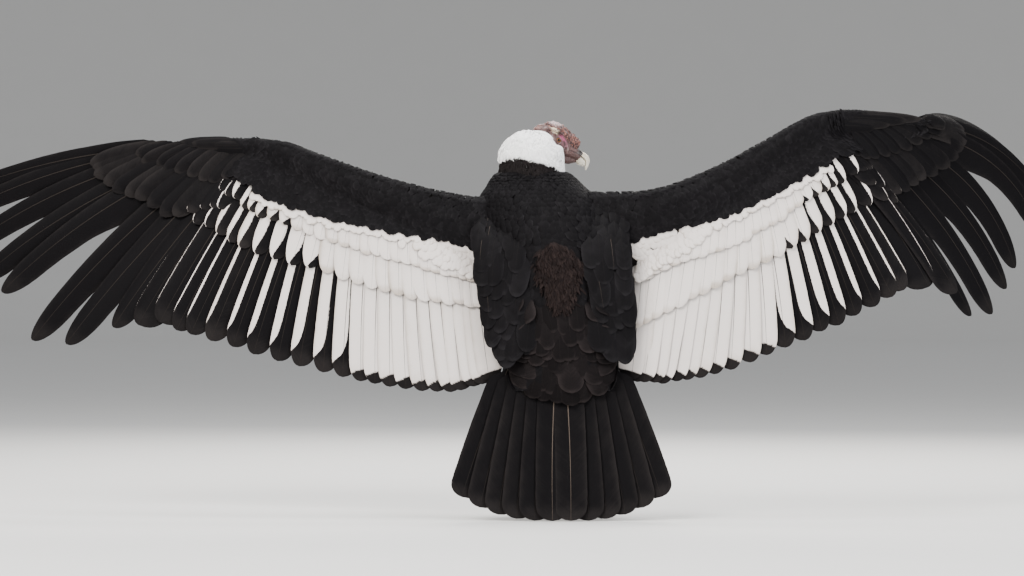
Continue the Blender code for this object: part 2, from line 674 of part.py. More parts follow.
# Tail
def make_tail():
    rings = [
        oval((x, y, z), (1, 0, 0), (0, -1, 0), wide, deep, 14) for z, x, y, wide, deep in TAIL_BASE_SECTIONS
    ]
    base = loft("tail", rings, "feather_black")
    pieces = []
    for k in range(TAIL_FEATHERS):
        across = (2 * k - (TAIL_FEATHERS - 1)) / (TAIL_FEATHERS - 1)
        outer = abs(across)
        sign = 1 if across > 0 else -1
        root = np.array(TAIL_ROOT) + np.array((TAIL_ROOT_HALF * across, 0.010 * outer, 0))
        tip_y = TAIL_TIP_Y[0] + (TAIL_TIP_Y[1] - TAIL_TIP_Y[0]) * outer**1.3
        tip_z = TAIL_TIP_Z[0] + (TAIL_TIP_Z[1] - TAIL_TIP_Z[0]) * max(outer - 0.1, 0) ** 2.6
        tip = (0.002 + TAIL_TIP_HALF * across, tip_y, tip_z)
        # The middle pair lies on top, and each feather's outer edge is below the next one in.
        pieces.append(vane(root, tip, (sign, 0, 0), TAIL_BREADTH, TAIL_SHAFT, FLIGHT_FORM,
                           share=0.4 + 0.1 * (1 - outer), tilt=-SHINGLE, bow=TAIL_BOW, dorsal=(0, -1, 0)))
    fuse(base, pieces)
    for vertex in base.data.vertices:
        vertex.co.z = max(vertex.co.z, 0.0)
    return base


# Head
def head_axes():
    """Directions of the head's forward, right side and crown."""
    forward = np.array((math.cos(HEAD_YAW) * math.cos(HEAD_DIP), math.sin(HEAD_YAW) * math.cos(HEAD_DIP),
                        -math.sin(HEAD_DIP)))
    right = np.array((math.sin(HEAD_YAW), -math.cos(HEAD_YAW), 0.0))
    return forward, right, np.cross(right, forward)


def in_head(forward, right, up):
    axes = head_axes()
    return np.array(EYE_PLACE) + axes[0] * forward + axes[1] * right + axes[2] * up


def head_ring(forward, height, half_wide, half_high, turn, count):
    """A section across the head, tipped forward by an angle in degrees as the bill curves down."""
    ahead, right, up = head_axes()
    raised = up * math.cos(math.radians(turn)) + ahead * math.sin(math.radians(turn))
    return oval(in_head(forward, 0, height), right, raised, half_wide, half_high, count)


def skull(grow=0.0):
    steps = 12
    rings = []
    for step in range(steps + 1):
        forward, height, wide, high = smooth(SKULL_SECTIONS, step / steps)
        if grow and step in (0, steps):
            forward += grow if step else -grow
        rings.append(head_ring(forward, height, wide + grow, high + grow, 0, SKULL_SIDES))
    return loft("head", rings, "skin_pink")


def ball(name, centre, radius, colour, rows=8, count=14, stretch=(1, 1, 1)):
    rings = []
    ahead, right, up = head_axes()
    for row in range(rows + 1):
        a = math.pi * (0.06 + 0.88 * row / rows)
        middle = np.asarray(centre) + up * math.cos(a) * radius * stretch[2]
        wide = math.sin(a) * radius
        rings.append(oval(middle, ahead, right, wide * stretch[0], wide * stretch[1], count))
    return loft(name, rings, colour)


def eye_centre(sign):
    return in_head(0, sign * EYE_SPREAD, 0)


def lid(sign):
    """A rounded rim of skin about the eye."""
    ahead, right, up = head_axes()
    rings = []
    around = 12
    for step in range(around):
        a = 2 * math.pi * step / around
        middle = in_head(0.0088 * math.cos(a), sign * (EYE_SPREAD + 0.0066), 0.0072 * math.sin(a))
        out = unit(ahead * math.cos(a) + up * math.sin(a))
        rings.append([middle + out * 0.0022 * math.cos(b) + right * sign * 0.0022 * math.sin(b)
                      for b in (0.0, 1.6, 3.2, 4.8)])
    points = [point for ring in rings for point in ring]
    faces = []
    for i in range(around):
        for k in range(4):
            n, j = (k + 1) % 4, (i + 1) % around
            faces.append((i * 4 + k, i * 4 + n, j * 4 + n, j * 4 + k))
    return mesh_object("lid", points, faces, "skin_pink")


def fold(sign, places, radius, grow=0.0):
    """A ridge of loose skin on the side of the head, thin at both ends."""
    path = [in_head(forward, sign * right, up) for forward, right, up in places]
    radii = [radius * 0.4, radius, radius, radius * 0.4]
    return tube("fold", path, radii, "skin_pink", count=5, steps=4, grow=grow)


def throat_wattle(grow=0.0):
    """The flap of skin that hangs from the lower jaw down the throat."""
    rings = []
    for forward, top, foot, half in ((0.0680, 0.002, -0.0112, 0.0050), (0.0600, -0.001, -0.0235, 0.0070),
                                     (0.046, -0.007, -0.0310, 0.0072), (0.028, -0.011, -0.0370, 0.0068),
                                     (0.006, -0.014, -0.0410, 0.0066), (-0.022 - grow, -0.016, -0.034, 0.0050)):
        rings.append(head_ring(forward, (top + foot) / 2, half + grow, (top - foot) / 2 + grow, 0, 8))
    return loft("wattle", rings, "skin_pink")


def loose_skin(grow=0.0):
    """The wattle and the folds on both sides of the head."""
    made = [throat_wattle(grow)]
    for sign in (-1, 1):
        for places, radius in SIDE_FOLDS:
            made.append(fold(sign, places, radius, grow))
    return made


def clear_of_head(obj):
    """Cuts the object back so that it lies against the head with a gap."""
    for cutter in [skull(GAP)] + loose_skin(GAP):
        carve(obj, cutter)


def make_head():
    head = skull()
    fuse(head, loose_skin() + [lid(-1), lid(1)])
    for sign in (-1, 1):
        carve(head, ball("socket", eye_centre(sign), EYE_RADIUS + 3 * GAP, "skin_pink", rows=6, count=12))
        nostril = ball("nostril", in_head(0.0620, sign * 0.0135, 0.0140), 0.0030, "skin_pink",
                       rows=4, count=8, stretch=(1.5, 1.6, 0.8))
        carve(head, nostril)
        ear = ball("ear", in_head(-0.030, sign * 0.0262, -0.004), 0.0036, "skin_pink", rows=4, count=8)
        carve(head, ear)
    mouth = [head_ring(forward, height, 0.020, 0.0009, 0, 8)
             for forward, height in ((0.036, -0.0010), (0.0527, 0.0050), (0.072, 0.0070))]
    return carve(head, loft("mouth", mouth, "skin_pink"))


def make_comb():
    rings = []
    steps = 8
    for step in range(steps + 1):
        forward, foot, crest, half = smooth(COMB_SECTIONS, step / steps)
        rings.append(head_ring(forward, (foot + crest) / 2, half, (crest - foot) / 2, 0, 10))
    comb = loft("comb", rings, "comb_red")
    bulbs = [ball("bulb", in_head(forward, right, up), radius, "comb_red", rows=4, count=6)
             for forward, right, up, radius in ((-0.030, 0.002, 0.025, 0.0098), (0.002, -0.002, 0.0325, 0.0096),
                                                (0.034, 0.001, 0.0310, 0.0098))]
    fuse(comb, bulbs)
    return carve(comb, skull(GAP))


def bill_ring(section, way):
    """A section of the bill: rounded on its outer side, nearly flat along the cutting edge."""
    forward, edge, depth, wide, turn = section
    ahead, right, up = head_axes()
    raised = (up * math.cos(math.radians(turn)) + ahead * math.sin(math.radians(turn))) * way
    foot = in_head(forward, 0, edge)
    ring = []
    for k in range(10):
        a = 2 * math.pi * (k + 0.5) / 10
        height = math.cos(a) * (1 if math.cos(a) > 0 else FLAT_SHARE)
        ring.append(foot + right * wide * math.sin(a) + raised * (depth * height + depth * FLAT_SHARE))
    return ring


def make_bill():
    loft("bill_upper", [bill_ring(section, 1) for section in UPPER_BILL], "bill_ivory")
    loft("bill_lower", [bill_ring(section, -1) for section in LOWER_BILL], "bill_ivory")


def make_eyes():
    for side, sign in (("left", -1), ("right", 1)):
        eye = ball(f"eye_{side}", eye_centre(sign), EYE_RADIUS, "eye_brown", rows=6, count=12)
        eye.data.shade_smooth()


# Neck and ruff
def neck_body(grow=0.0):
    return tube("neck", NECK_PATH, NECK_RADII, "skin_pink", count=12, steps=6, grow=grow)


def ruff_core():
    rings = []
    for polar in (18, 42, 66, 90, 116):
        a = math.radians(polar)
        centre = np.array(RUFF_CENTRE) + np.array((0, 0, math.cos(a) * RUFF_RADIUS * RUFF_CORE))
        wide = math.sin(a) * RUFF_RADIUS * RUFF_CORE
        rings.append(oval(centre, (1, 0, 0), (0, -1, 0), wide, wide, 14))
    return loft("ruff", rings, "down_white")


def make_ruff():
    draw = np.random.default_rng(7)
    centre = np.array(RUFF_CENTRE)
    pieces = []
    for tier, (start, end, count) in enumerate(RUFF_TIERS):
        for k in range(count):
            turn = 2 * math.pi * (k + 0.5 * (tier % 2) + draw.uniform(-0.12, 0.12)) / count
            level = np.array((math.cos(turn), math.sin(turn), 0.0))
            first, last = math.radians(start), math.radians(end + draw.uniform(-3, 3))
            root = centre + (level * math.sin(first) + np.array((0, 0, math.cos(first)))) * RUFF_RADIUS * RUFF_ROOT
            tip = centre + (level * math.sin(last) + np.array((0, 0, math.cos(last)))) * RUFF_RADIUS
            across = np.cross((0, 0, 1), level)
            pieces.append(vane(root, tip, across, RUFF_LOCK, 0, LOCK_FORM, share=0.5, tilt=math.radians(10),
                               bow=0.006, dorsal=level + np.array((0, 0, 0.8)), thick=RUFF_LOCK_THICKNESS))
    ruff = fuse(ruff_core(), pieces)
    carve(ruff, neck_body(GAP))
    carve(ruff, torso_body(GAP))
    carve(ruff, ball("clear", eye_centre(1), 0.0150, "skin_pink", rows=6, count=8))
    clear_of_head(ruff)


def make_neck():
    neck = neck_body()
    carve(neck, torso_body(GAP))
    clear_of_head(neck)


# Legs and feet
def mirrored(path, side):
    sign = -1 if side == "left" else 1
    return [(LEG_MIDDLE + sign * x, y, z) for x, y, z in path]


def make_leg(side):
    leg = tube(f"leg_{side}", mirrored(THIGH_PATH, side), THIGH_RADII, "feather_black", count=12, steps=8)
    shank = mirrored(TARSUS_PATH, side)
    down = unit(smooth(shank, 0.02) - np.array(shank[0]))
    carve(leg, slab(np.array(shank[0]) - down * GAP, down))
    return carve(leg, torso_body(GAP))


def make_foot(side):
    sign = -1 if side == "left" else 1
    foot = tube(f"foot_{side}", mirrored(TARSUS_PATH, side), TARSUS_RADII, "foot_grey", count=10, steps=6)
    ankle = np.array(mirrored(TARSUS_PATH[-1:], side)[0])
    toes = []
    for number, (angle, length, radius, claw_length) in enumerate(TOES):
        turn = math.radians(angle) * sign
        ahead = np.array((math.sin(turn), math.cos(turn), 0.0))
        across = np.array((ahead[1], -ahead[0], 0.0))
        rings = []
        steps = 4
        for step in range(steps + 1):
            t = step / steps
            size = radius * (1 - (1 - TOE_RADIUS_DROP) * t) * (1 + 0.07 * math.cos(4 * math.pi * t))
            rise = 0.010 * (1 - t) ** 2
            centre = ankle * (1, 1, 0) + ahead * length * t + np.array((0, 0, size * 0.86 + rise))
            ring = oval(centre, across, (0, 0, 1), size, size * 0.96, 6)
            rings.append([np.array((p[0], p[1], max(p[2], 0.0))) for p in ring])
        toes.append(loft("toe", rings, "foot_grey"))
        claw_rings = []
        end = ankle * (1, 1, 0) + ahead * (length + GAP)
        size = radius * TOE_RADIUS_DROP
        for step in range(4):
            t = step / 3
            drop = 0.15 + 0.72 * t
            centre = end + ahead * claw_length * t + np.array((0, 0, size * (1.25 - 0.95 * t**2)))
            half = size * 0.66 * (1 - 0.88 * t)
            ring = oval(centre, across, (0, 0, 1), half * 0.8, half * (1 - 0.2 * drop), 6)
            claw_rings.append([np.array((p[0], p[1], max(p[2], 0.0))) for p in ring])
        loft(f"claw_{side}_{number + 1}", claw_rings, "claw_dark")
    return fuse(foot, toes)


def set_origin():
    """Moves every part so that the origin is under the middle of the whole bird, on the floor."""
    corners = np.array([obj.matrix_world @ Vector(c) for obj in bpy.data.objects for c in obj.bound_box])
    low, high = corners.min(axis=0), corners.max(axis=0)
    shift = Matrix.Translation((-(low[0] + high[0]) / 2, -(low[1] + high[1]) / 2, -low[2]))
    for obj in bpy.data.objects:
        obj.data.transform(shift)


def main():
    clear_scene()
    make_torso()
    for side in ("left", "right"):
        wing = Wing(side)
        wing.make_arm()
        wing.make_hand()
        make_leg(side)
        make_foot(side)
    make_tail()
    make_head()
    make_comb()
    make_bill()
    make_eyes()
    make_neck()
    make_ruff()
    set_origin()


main()
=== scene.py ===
"""The looks of a life-size Andean condor that stands with both wings spread, seen from behind.

Metres, +Z up, in the frame's own axes. The bird is laid out from the same driving sizes as its solids,
with x = 0 near the middle of the rump, and SHIFT takes that layout to the frame's origin.
"""

import math

import bpy
import numpy as np
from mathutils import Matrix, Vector, noise


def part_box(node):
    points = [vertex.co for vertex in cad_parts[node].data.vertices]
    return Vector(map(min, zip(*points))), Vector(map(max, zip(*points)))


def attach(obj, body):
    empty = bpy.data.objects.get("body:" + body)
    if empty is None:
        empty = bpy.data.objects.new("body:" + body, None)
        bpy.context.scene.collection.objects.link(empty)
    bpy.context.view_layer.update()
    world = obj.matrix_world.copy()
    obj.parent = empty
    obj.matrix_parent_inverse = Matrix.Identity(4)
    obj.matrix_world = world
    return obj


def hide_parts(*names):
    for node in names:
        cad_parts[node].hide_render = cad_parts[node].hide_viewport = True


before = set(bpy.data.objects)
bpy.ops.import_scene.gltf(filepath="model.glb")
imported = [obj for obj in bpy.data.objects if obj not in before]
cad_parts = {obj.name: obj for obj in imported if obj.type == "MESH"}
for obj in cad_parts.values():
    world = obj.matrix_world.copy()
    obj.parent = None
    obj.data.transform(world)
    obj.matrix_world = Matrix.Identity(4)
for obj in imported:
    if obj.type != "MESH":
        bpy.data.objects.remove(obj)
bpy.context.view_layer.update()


def metres(rows):
    """A table of millimetres, in metres."""
    return np.array(rows) / 1000


# Torso: height, centre x, centre y, half width, half depth of level sections
TORSO_SECTIONS = metres((
    (286, 6, -102, 104, 12),
    (308, 6, -96, 110, 26),
    (330, 6, -88, 116, 44),
    (360, 6, -66, 124, 70),
    (420, 4, -26, 132, 112),
    (520, -6, 12, 145, 133),
    (620, -16, 40, 150, 138),
    (690, -34, 58, 148, 128),
    (745, -48, 68, 136, 112),
    (785, -58, 74, 103, 94),
    (812, -63.5, 78, 79.5, 78),
))
TORSO_FOOT, TORSO_TOP = TORSO_SECTIONS[0][0], TORSO_SECTIONS[-1][0]
# Depth of the coat of feathers over the skin
COAT = 0.008

# Wings: secondaries and primaries, rooted from the elbow out to the tip of the digit
SECONDARIES = 20
PRIMARIES = 10
REMIGES = SECONDARIES + PRIMARIES
# How far each feather is turned to lie over the next one
SHINGLE = math.radians(11)
# How high the middle of a flight feather stands over the line from its root to its tip
REMEX_BOW = 0.012
SECONDARY_BREADTH = 0.064
PRIMARY_BREADTH = metres((88, 90, 92, 92, 90, 86, 82, 78, 72, 64))
# Sideways curve of each primary, as a share of its length
PRIMARY_BENDS = {
    "left": (0.012, 0.016, 0.020, 0.026, 0.036, 0.050, 0.055, 0.055, 0.050, 0.045),
    "right": (0.020, 0.040, 0.060, 0.080, 0.110, 0.140, 0.150, 0.140, 0.110, 0.080),
}
SECONDARY_BEND = 0.012
# Where the black small coverts end over the secondaries: place from the body, share of the feathers' length
BLACK_ENDS = {
    "left": ((-1.0, -0.10), (1.4, -0.07), (3.5, -0.02), (7.5, 0.085), (9.4, 0.12), (12.8, 0.165),
             (16.6, 0.19), (20.0, 0.17)),
    "right": ((-1.0, -0.19), (1.3, -0.14), (4.6, 0.01), (7.7, 0.065), (9.9, 0.09), (13.0, 0.13),
              (15.2, 0.15), (17.3, 0.155), (20.0, 0.15)),
}
# How many of each wing's inner secondaries are white but for their tips
WHITE_SECONDARIES = {"left": 11, "right": 12}
# Where the greater and the median coverts end, given in the same way
GREATER_ENDS = {
    "left": ((0.0, 0.40), (4.0, 0.42), (6.0, 0.46), (19.0, 0.475), (22.0, 0.41)),
    "right": ((0.0, 0.60), (5.0, 0.51), (8.0, 0.47), (19.0, 0.475), (22.0, 0.41)),
}
MEDIAN_ENDS = ((0.0, 0.19), (6.0, 0.24), (9.0, 0.275), (19.0, 0.285), (22.0, 0.22))
# The way that a wing's upper side faces, roughly
DORSAL = np.array((0.0, -1.0, 0.2))
# Leading edge, line of the quills, ends of the flight feathers, and the line of the shoulder feathers' tips
WINGS = {
    "left": {
        "lead": metres(((-100, 36, 768), (-200, 18, 758), (-378, 30, 796), (-570, 70, 861), (-655, 90, 891),
                        (-763, 100, 900), (-859, 110, 899), (-940, 120, 888))),
        "roots": metres(((-90, 15, 590), (-198, -2, 601), (-380, 15, 692), (-565, 60, 775), (-680, 90, 826),
                         (-763, 100, 860), (-847, 110, 870), (-927, 120, 876))),
        "secondary_roots": metres(((-198, -2, 601), (-311, 0, 658), (-435, 30, 720), (-565, 60, 775),
                                   (-686, 90, 829))),
        "secondary_tips": metres(((-166, -82, 322), (-250, -82, 298), (-380, -75, 308), (-528, -60, 336),
                                  (-729, -30, 387), (-906, 0, 440))),
        "primary_roots": metres(((-705, 94, 848), (-763, 100, 860), (-847, 110, 870), (-927, 120, 876))),
        "primary_tips": metres(((-944, 0, 460), (-998, 20, 455), (-1059, 40, 447), (-1173, 60, 407),
                                (-1257, 80, 416), (-1332, 100, 530), (-1392, 120, 554), (-1449, 130, 617),
                                (-1467, 140, 706), (-1443, 140, 771))),
        "scapular_tips": metres(((-186, -30, 712), (-190, -62, 660), (-192, -90, 606), (-184, -106, 552),
                                 (-176, -118, 495), (-166, -126, 430), (-144, -132, 366), (-126, -142, 358))),
    },
    "right": {
        "lead": metres(((-10, 36, 778), (95, 18, 770), (223, 10, 776), (351, 30, 822), (480, 40, 889),
                        (583, 52, 946), (650, 68, 963), (719, 95, 966), (847, 155, 954), (890, 178, 946))),
        "roots": metres(((85, 15, 590), (193, -2, 601), (316, -10, 686), (421, 10, 748), (512, 30, 820),
                         (590, 45, 874), (650, 64, 900), (700, 84, 910), (794, 130, 924), (882, 170, 935))),
        "secondary_roots": metres(((193, -2, 601), (316, -10, 686), (421, 10, 748), (512, 30, 820),
                                   (599, 50, 880))),
        "secondary_tips": metres(((166, -82, 325), (235, -85, 318), (345, -78, 335), (503, -60, 390),
                                  (663, -30, 460), (810, 0, 531))),
        "primary_roots": metres(((634, 58, 897), (693, 80, 908), (794, 130, 924), (882, 170, 935))),
        "primary_tips": metres(((875, 30, 542), (946, 70, 530), (988, 130, 473), (1048, 200, 477),
                                (1094, 280, 538), (1126, 350, 589), (1198, 420, 679), (1221, 470, 755),
                                (1199, 520, 816), (1143, 550, 881))),
        "scapular_tips": metres(((146, -30, 716), (150, -62, 662), (150, -90, 610), (150, -106, 556),
                                 (154, -118, 500), (162, -126, 436), (152, -132, 372), (138, -142, 362))),
    },
}
# The wrist's place along the wing, and the thickness at the shoulder, the wrist and the tip of the digit
WRIST = 0.62
WING_THICKNESS = (0.036, 0.022, 0.011)
# Section of the wing's flesh: distance back from the leading edge, with the quills at 1, then height above
# and below as a share of the thickness
WING_SECTION = np.array(((0.0, 0.0, 0.0), (0.10, 0.50, -0.44), (0.40, 0.80, -0.60), (0.85, 0.66, -0.50),
                         (1.25, 0.16, -0.14)))

# Tail: half widths across its roots and tips, and the tips' depth and height at the middle and outside
TAIL_FEATHERS = 12
TAIL_ROOT_HALF = 0.122
TAIL_ROOT = (0.000, -0.096, 0.352)
TAIL_TIP_HALF = 0.232
TAIL_TIP_Y = (-0.160, -0.130)
TAIL_TIP_Z = (0.001, 0.072)
TAIL_BREADTH = 0.078

# Head: the place between the eyes, how far the head dips and turns, and the eyes' spread and size
EYE_PLACE = (-0.0082, 0.112, 0.8927)
HEAD_DIP = math.radians(38)
HEAD_YAW = math.radians(15)
EYE_SPREAD = 0.0165
EYE_RADIUS = 0.0096
# Forward of the eyes, centre height, half width, half height
SKULL_SECTIONS = metres((
    (-60, -11, 8, 8),
    (-55, -10, 17, 16),
    (-42, -8, 23.5, 22.5),
    (-24, -6, 26.5, 25.5),
    (-6, -4, 26.2, 25.8),
    (12, -3, 23.2, 24),
    (28, -2, 18.2, 20.5),
    (42, 0.8, 15.2, 17.4),
    (54, 4, 13.8, 16),
    (64, 6, 12.8, 14.8),
    (70, 6.4, 12, 13.8),
))
# Forward of the eyes, foot, crest, half width
COMB_SECTIONS = metres((
    (-50, 2, 8.5, 3.6),
    (-45.5, 2, 18, 6.4),
    (-40, 3, 26.2, 8),
    (-33, 4, 31.8, 8.8),
    (-24, 6, 36.2, 9),
    (-12, 8, 39.8, 9.2),
    (3, 9, 40.4, 9.4),
    (17, 9, 40, 9.2),
    (31, 9, 39.8, 9.6),
    (42, 9, 38.4, 9.8),
    (49, 10, 35.2, 8.8),
    (53.5, 14, 29.2, 5.6),
))
# Forward of the eyes, height of the edge, depth, half width, and the tilt in degrees
UPPER_BILL = (
    (0.0640, 0.0060, 0.0118, 0.0104, 0),
    (0.0730, 0.0076, 0.0126, 0.0106, 4),
    (0.0815, 0.0078, 0.0124, 0.0096, 16),
    (0.0880, 0.0056, 0.0108, 0.0080, 36),
    (0.0920, 0.0020, 0.0080, 0.0062, 56),
    (0.0950, -0.0028, 0.0062, 0.0046, 74),
    (0.0975, -0.0064, 0.0042, 0.0032, 86),
    (0.1000, -0.0096, 0.0020, 0.0016, 96),
)
LOWER_BILL = (
    (0.0640, 0.0040, 0.0120, 0.0096, 0),
    (0.0730, 0.0064, 0.0158, 0.0094, 0),
    (0.0820, 0.0064, 0.0145, 0.0082, -4),
    (0.0880, 0.0042, 0.0104, 0.0062, -8),
    (0.0915, 0.0004, 0.0050, 0.0038, -12),
)

# Neck and ruff
NECK_PATH = metres(((-66, 80, 770), (-68, 92, 830), (-64, 104, 872), (-46, 108, 897)))
NECK_RADII = metres((48, 37, 31, 26))
RUFF_CENTRE = np.array((-0.067, 0.070, 0.838))
RUFF_RADIUS = 0.081
# Size of the closed form under the ruff's down, as a share of its radius
RUFF_CORE = 0.86

# Legs and feet, given for the right leg
LEG_MIDDLE = 0.004
THIGH_PATH = metres(((56, 15, 470), (78, 45, 350), (85, 45, 250), (87, 8, 165), (88, -6, 124)))
THIGH_RADII = metres((40, 58, 47, 30, 19))
TARSUS_PATH = metres(((88, -6, 150), (88, -4, 135.7), (88, 2, 112), (90, 18, 62), (91, 30, 22)))
TARSUS_RADII = metres((13.5, 15, 12.5, 11.5, 14.5))
# Angle outward from straight ahead, length, radius at the root, length of the claw
TOES = ((-4, 0.108, 0.0105, 0.022), (24, 0.078, 0.0092, 0.020), (-31, 0.080, 0.0092, 0.019),
        (196, 0.026, 0.0075, 0.014))
# Radius at a toe's tip, as a share of that at its root
TOE_TAPER = 0.72

# The photograph's camera, in the layout's axes
CAMERA_PLACE = (-0.113, -8.0, 0.540)
CAMERA_LENS = 119.2
SENSOR_WIDTH = 36.0
# The stage lies far beyond the cameras: its flat part, its bend up, and how far the camera sees
STAGE_FLAT = 26.0
STAGE_BEND = 6.0
CAMERA_REACH = 90.0


# Small helpers
def unit(vectors):
    vectors = np.asarray(vectors, float)
    return vectors / np.maximum(np.linalg.norm(vectors, axis=-1, keepdims=True), 1e-9)


def smooth(points, t):
    """The point at t, from 0 to 1, on a smooth curve through the points, given as rows."""
    points = np.asarray(points, float)
    last = len(points) - 1
    place = min(max(t, 0.0), 1.0) * last
    i = min(int(place), last - 1)
    f = place - i
    before, start, end, after = points[max(i - 1, 0)], points[i], points[i + 1], points[min(i + 2, last)]
    bend = 2 * before - 5 * start + 4 * end - after
    turn = 3 * start - before - 3 * end + after
    return 0.5 * (2 * start + (end - before) * f + bend * f**2 + turn * f**3)


def curve(points, samples=129):
    """Samples of the smooth curve, to look places up in with along()."""
    return np.array([smooth(points, i / (samples - 1)) for i in range(samples)])


def read(values, place):
    """Rows of the values, read between them at places that count from the first row."""
    return np.stack([np.interp(place, np.arange(len(values)), column) for column in values.T], axis=-1)


def along(samples, t):
    """Points at the places t, an array from 0 to 1, on a sampled curve."""
    return read(samples, np.clip(t, 0, 1) * (len(samples) - 1))


def heading(samples, t):
    """The way that a sampled curve runs at the places t."""
    return unit(along(samples, t + 0.03) - along(samples, t - 0.03))


def stacked(*columns):
    """Rows made of columns, any of which may be one number for all rows."""
    return np.stack(np.broadcast_arrays(*columns), axis=-1).astype(float)


def look_up(table, place):
    """The second column of a table at places in its first."""
    return np.interp(place, *np.transpose(table))


def ramp(value, low, high):
    """A smooth step: 0 below low and 1 above high."""
    t = np.clip((np.asarray(value, float) - low) / (high - low), 0, 1)
    return t * t * (3 - 2 * t)


def fractal(points, scale, octaves=3):
    """Smooth noise at the points, about -1 to 1."""
    return np.array([noise.fractal(Vector(p) * scale, 1.0, 2.0, octaves) for p in points])


# Directions of the head's forward, right side and crown
AHEAD = np.array((math.cos(HEAD_YAW) * math.cos(HEAD_DIP), math.sin(HEAD_YAW) * math.cos(HEAD_DIP),
                  -math.sin(HEAD_DIP)))
RIGHT = np.array((math.sin(HEAD_YAW), -math.cos(HEAD_YAW), 0.0))
CROWN = np.cross(RIGHT, AHEAD)


def in_head(forward, right, up):
    """The point at distances forward, right and up from between the eyes."""
    return np.array(EYE_PLACE) + AHEAD * forward + RIGHT * right + CROWN * up


def from_head(points):
    """The points as distances forward, right and up from between the eyes."""
    return (points - np.array(EYE_PLACE)) @ np.array((AHEAD, RIGHT, CROWN)).T


EYE_BOX = np.array(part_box("eye_right"))
SHIFT = EYE_BOX.mean(axis=0) - in_head(0, EYE_SPREAD, 0)
SHIFT[2] = 0.0


# Meshes
def quads_mesh(name, points, quads, finish, attributes=None, uv=None):
    """One smooth-shaded object from arrays of points and of four-cornered faces."""
    mesh = bpy.data.meshes.new(name)
    mesh.vertices.add(len(points))
    mesh.vertices.foreach_set("co", (points + SHIFT).astype(np.float32).ravel())
    mesh.loops.add(quads.size)
    mesh.loops.foreach_set("vertex_index", quads.astype(np.int32).ravel())
    mesh.polygons.add(len(quads))
    mesh.polygons.foreach_set("loop_start", np.arange(0, quads.size, 4, dtype=np.int32))
    mesh.polygons.foreach_set("use_smooth", np.ones(len(quads), bool))
    for key, values in (attributes or {}).items():
        layer = mesh.attributes.new(key, "FLOAT", "POINT")
        layer.data.foreach_set("value", values.astype(np.float32).ravel())
    if uv is not None:
        layer = mesh.uv_layers.new(name="OFBake")
        layer.data.foreach_set("uv", uv[quads.ravel()].astype(np.float32).ravel())
    mesh.update(calc_edges=True)
    mesh.materials.append(finish)
    obj = bpy.data.objects.new(name, mesh)
    bpy.context.scene.collection.objects.link(obj)
    return obj


def ring_quads(rings, count, closed=False):
    """Four-cornered faces between rings of count points; closed joins the last ring to the first."""
    i, k = np.meshgrid(np.arange(rings if closed else rings - 1), np.arange(count), indexing="ij")
    here, there, after = i * count, (i + 1) % rings * count, (k + 1) % count
    return np.stack([here + k, here + after, there + after, there + k], axis=-1).reshape(-1, 4)


def loft(rings):
    """Points and faces of a body through rings of one count, closed to a point at each end."""
    rings = [np.asarray(ring, float) for ring in rings]
    count = len(rings[0])
    first, last = (np.tile(ring.mean(axis=0), (count, 1)) for ring in (rings[0], rings[-1]))
    return np.concatenate([first] + rings + [last]), ring_quads(len(rings) + 2, count)


def ring_values(values, count):
    """A value for each point of a loft, from one for each ring."""
    return np.repeat([values[0], *values, values[-1]], count)


def joined(bodies):
    """The points and faces of several bodies as one."""
    points, quads, start = [], [], 0
    for body_points, body_quads in bodies:
        points.append(body_points)
        quads.append(body_quads + start)
        start += len(body_points)
    return np.concatenate(points), np.concatenate(quads)


def oval(centre, across, up, half_across, half_up, count):
    turn = 2 * np.pi * (np.arange(count) + 0.5) / count
    return (np.asarray(centre) + unit(across) * half_across * np.sin(turn)[:, None]
            + unit(up) * half_up * np.cos(turn)[:, None])


def heading_at(path, t):
    """The way that the smooth curve through a few points runs at t."""
    return unit(smooth(path, t + 0.02) - smooth(path, t - 0.02))


def radius_at(radii, t):
    """The radius at t, read smoothly between a few."""
    return smooth([[radius] for radius in radii], t)[0]


def tube_rings(path, radii, count, steps, grow=0.0):
    """Round sections along a path, with grow added to the radii."""
    rings = []
    for t in np.arange(steps + 1) / steps:
        way = heading_at(path, t)
        across = unit(np.cross(way, np.cross((1, 0, 0), way)))
        radius = radius_at(radii, t) + grow
        rings.append(oval(smooth(path, t), across, np.cross(across, way), radius, radius, count))
    return rings


def remeshed(name, bodies, voxel, finish, rounds):
    """One closed skin over all the bodies, relaxed a little."""
    points, quads = joined(bodies)
    obj = quads_mesh(name, points, quads, finish)
    obj.data.validate()
    remesh = obj.modifiers.new("Remesh", "REMESH")
    remesh.mode = "VOXEL"
    remesh.voxel_size = voxel
    remesh.use_smooth_shade = True
    relax = obj.modifiers.new("Relax", "SMOOTH")
    relax.factor = 0.5
    relax.iterations = rounds
    bpy.context.view_layer.update()
    graph = bpy.context.evaluated_depsgraph_get()
    mesh = bpy.data.meshes.new_from_object(obj.evaluated_get(graph))
    obj.modifiers.clear()
    obj.data = mesh
    mesh.materials.clear()
    mesh.materials.append(finish)
    return obj


def mesh_rows(obj, key):
    """A row for each point of the mesh: its place for "co", or its "normal"."""
    rows = np.empty(len(obj.data.vertices) * 3, np.float32)
    obj.data.vertices.foreach_get(key, rows)
    return rows.reshape(-1, 3).astype(float)


def mesh_points(obj):
    return mesh_rows(obj, "co") - SHIFT


def set_points(obj, points):
    obj.data.vertices.foreach_set("co", (points + SHIFT).astype(np.float32).ravel())
    obj.data.update()


def paint(obj, name, colours):
    """A colour at each point of the mesh, which the finish reads by name."""
    layer = obj.data.color_attributes.new(name, "FLOAT_COLOR", "POINT")
    rows = np.concatenate([colours, np.ones((len(colours), 1))], axis=1)
    layer.data.foreach_set("color", rows.astype(np.float32).ravel())


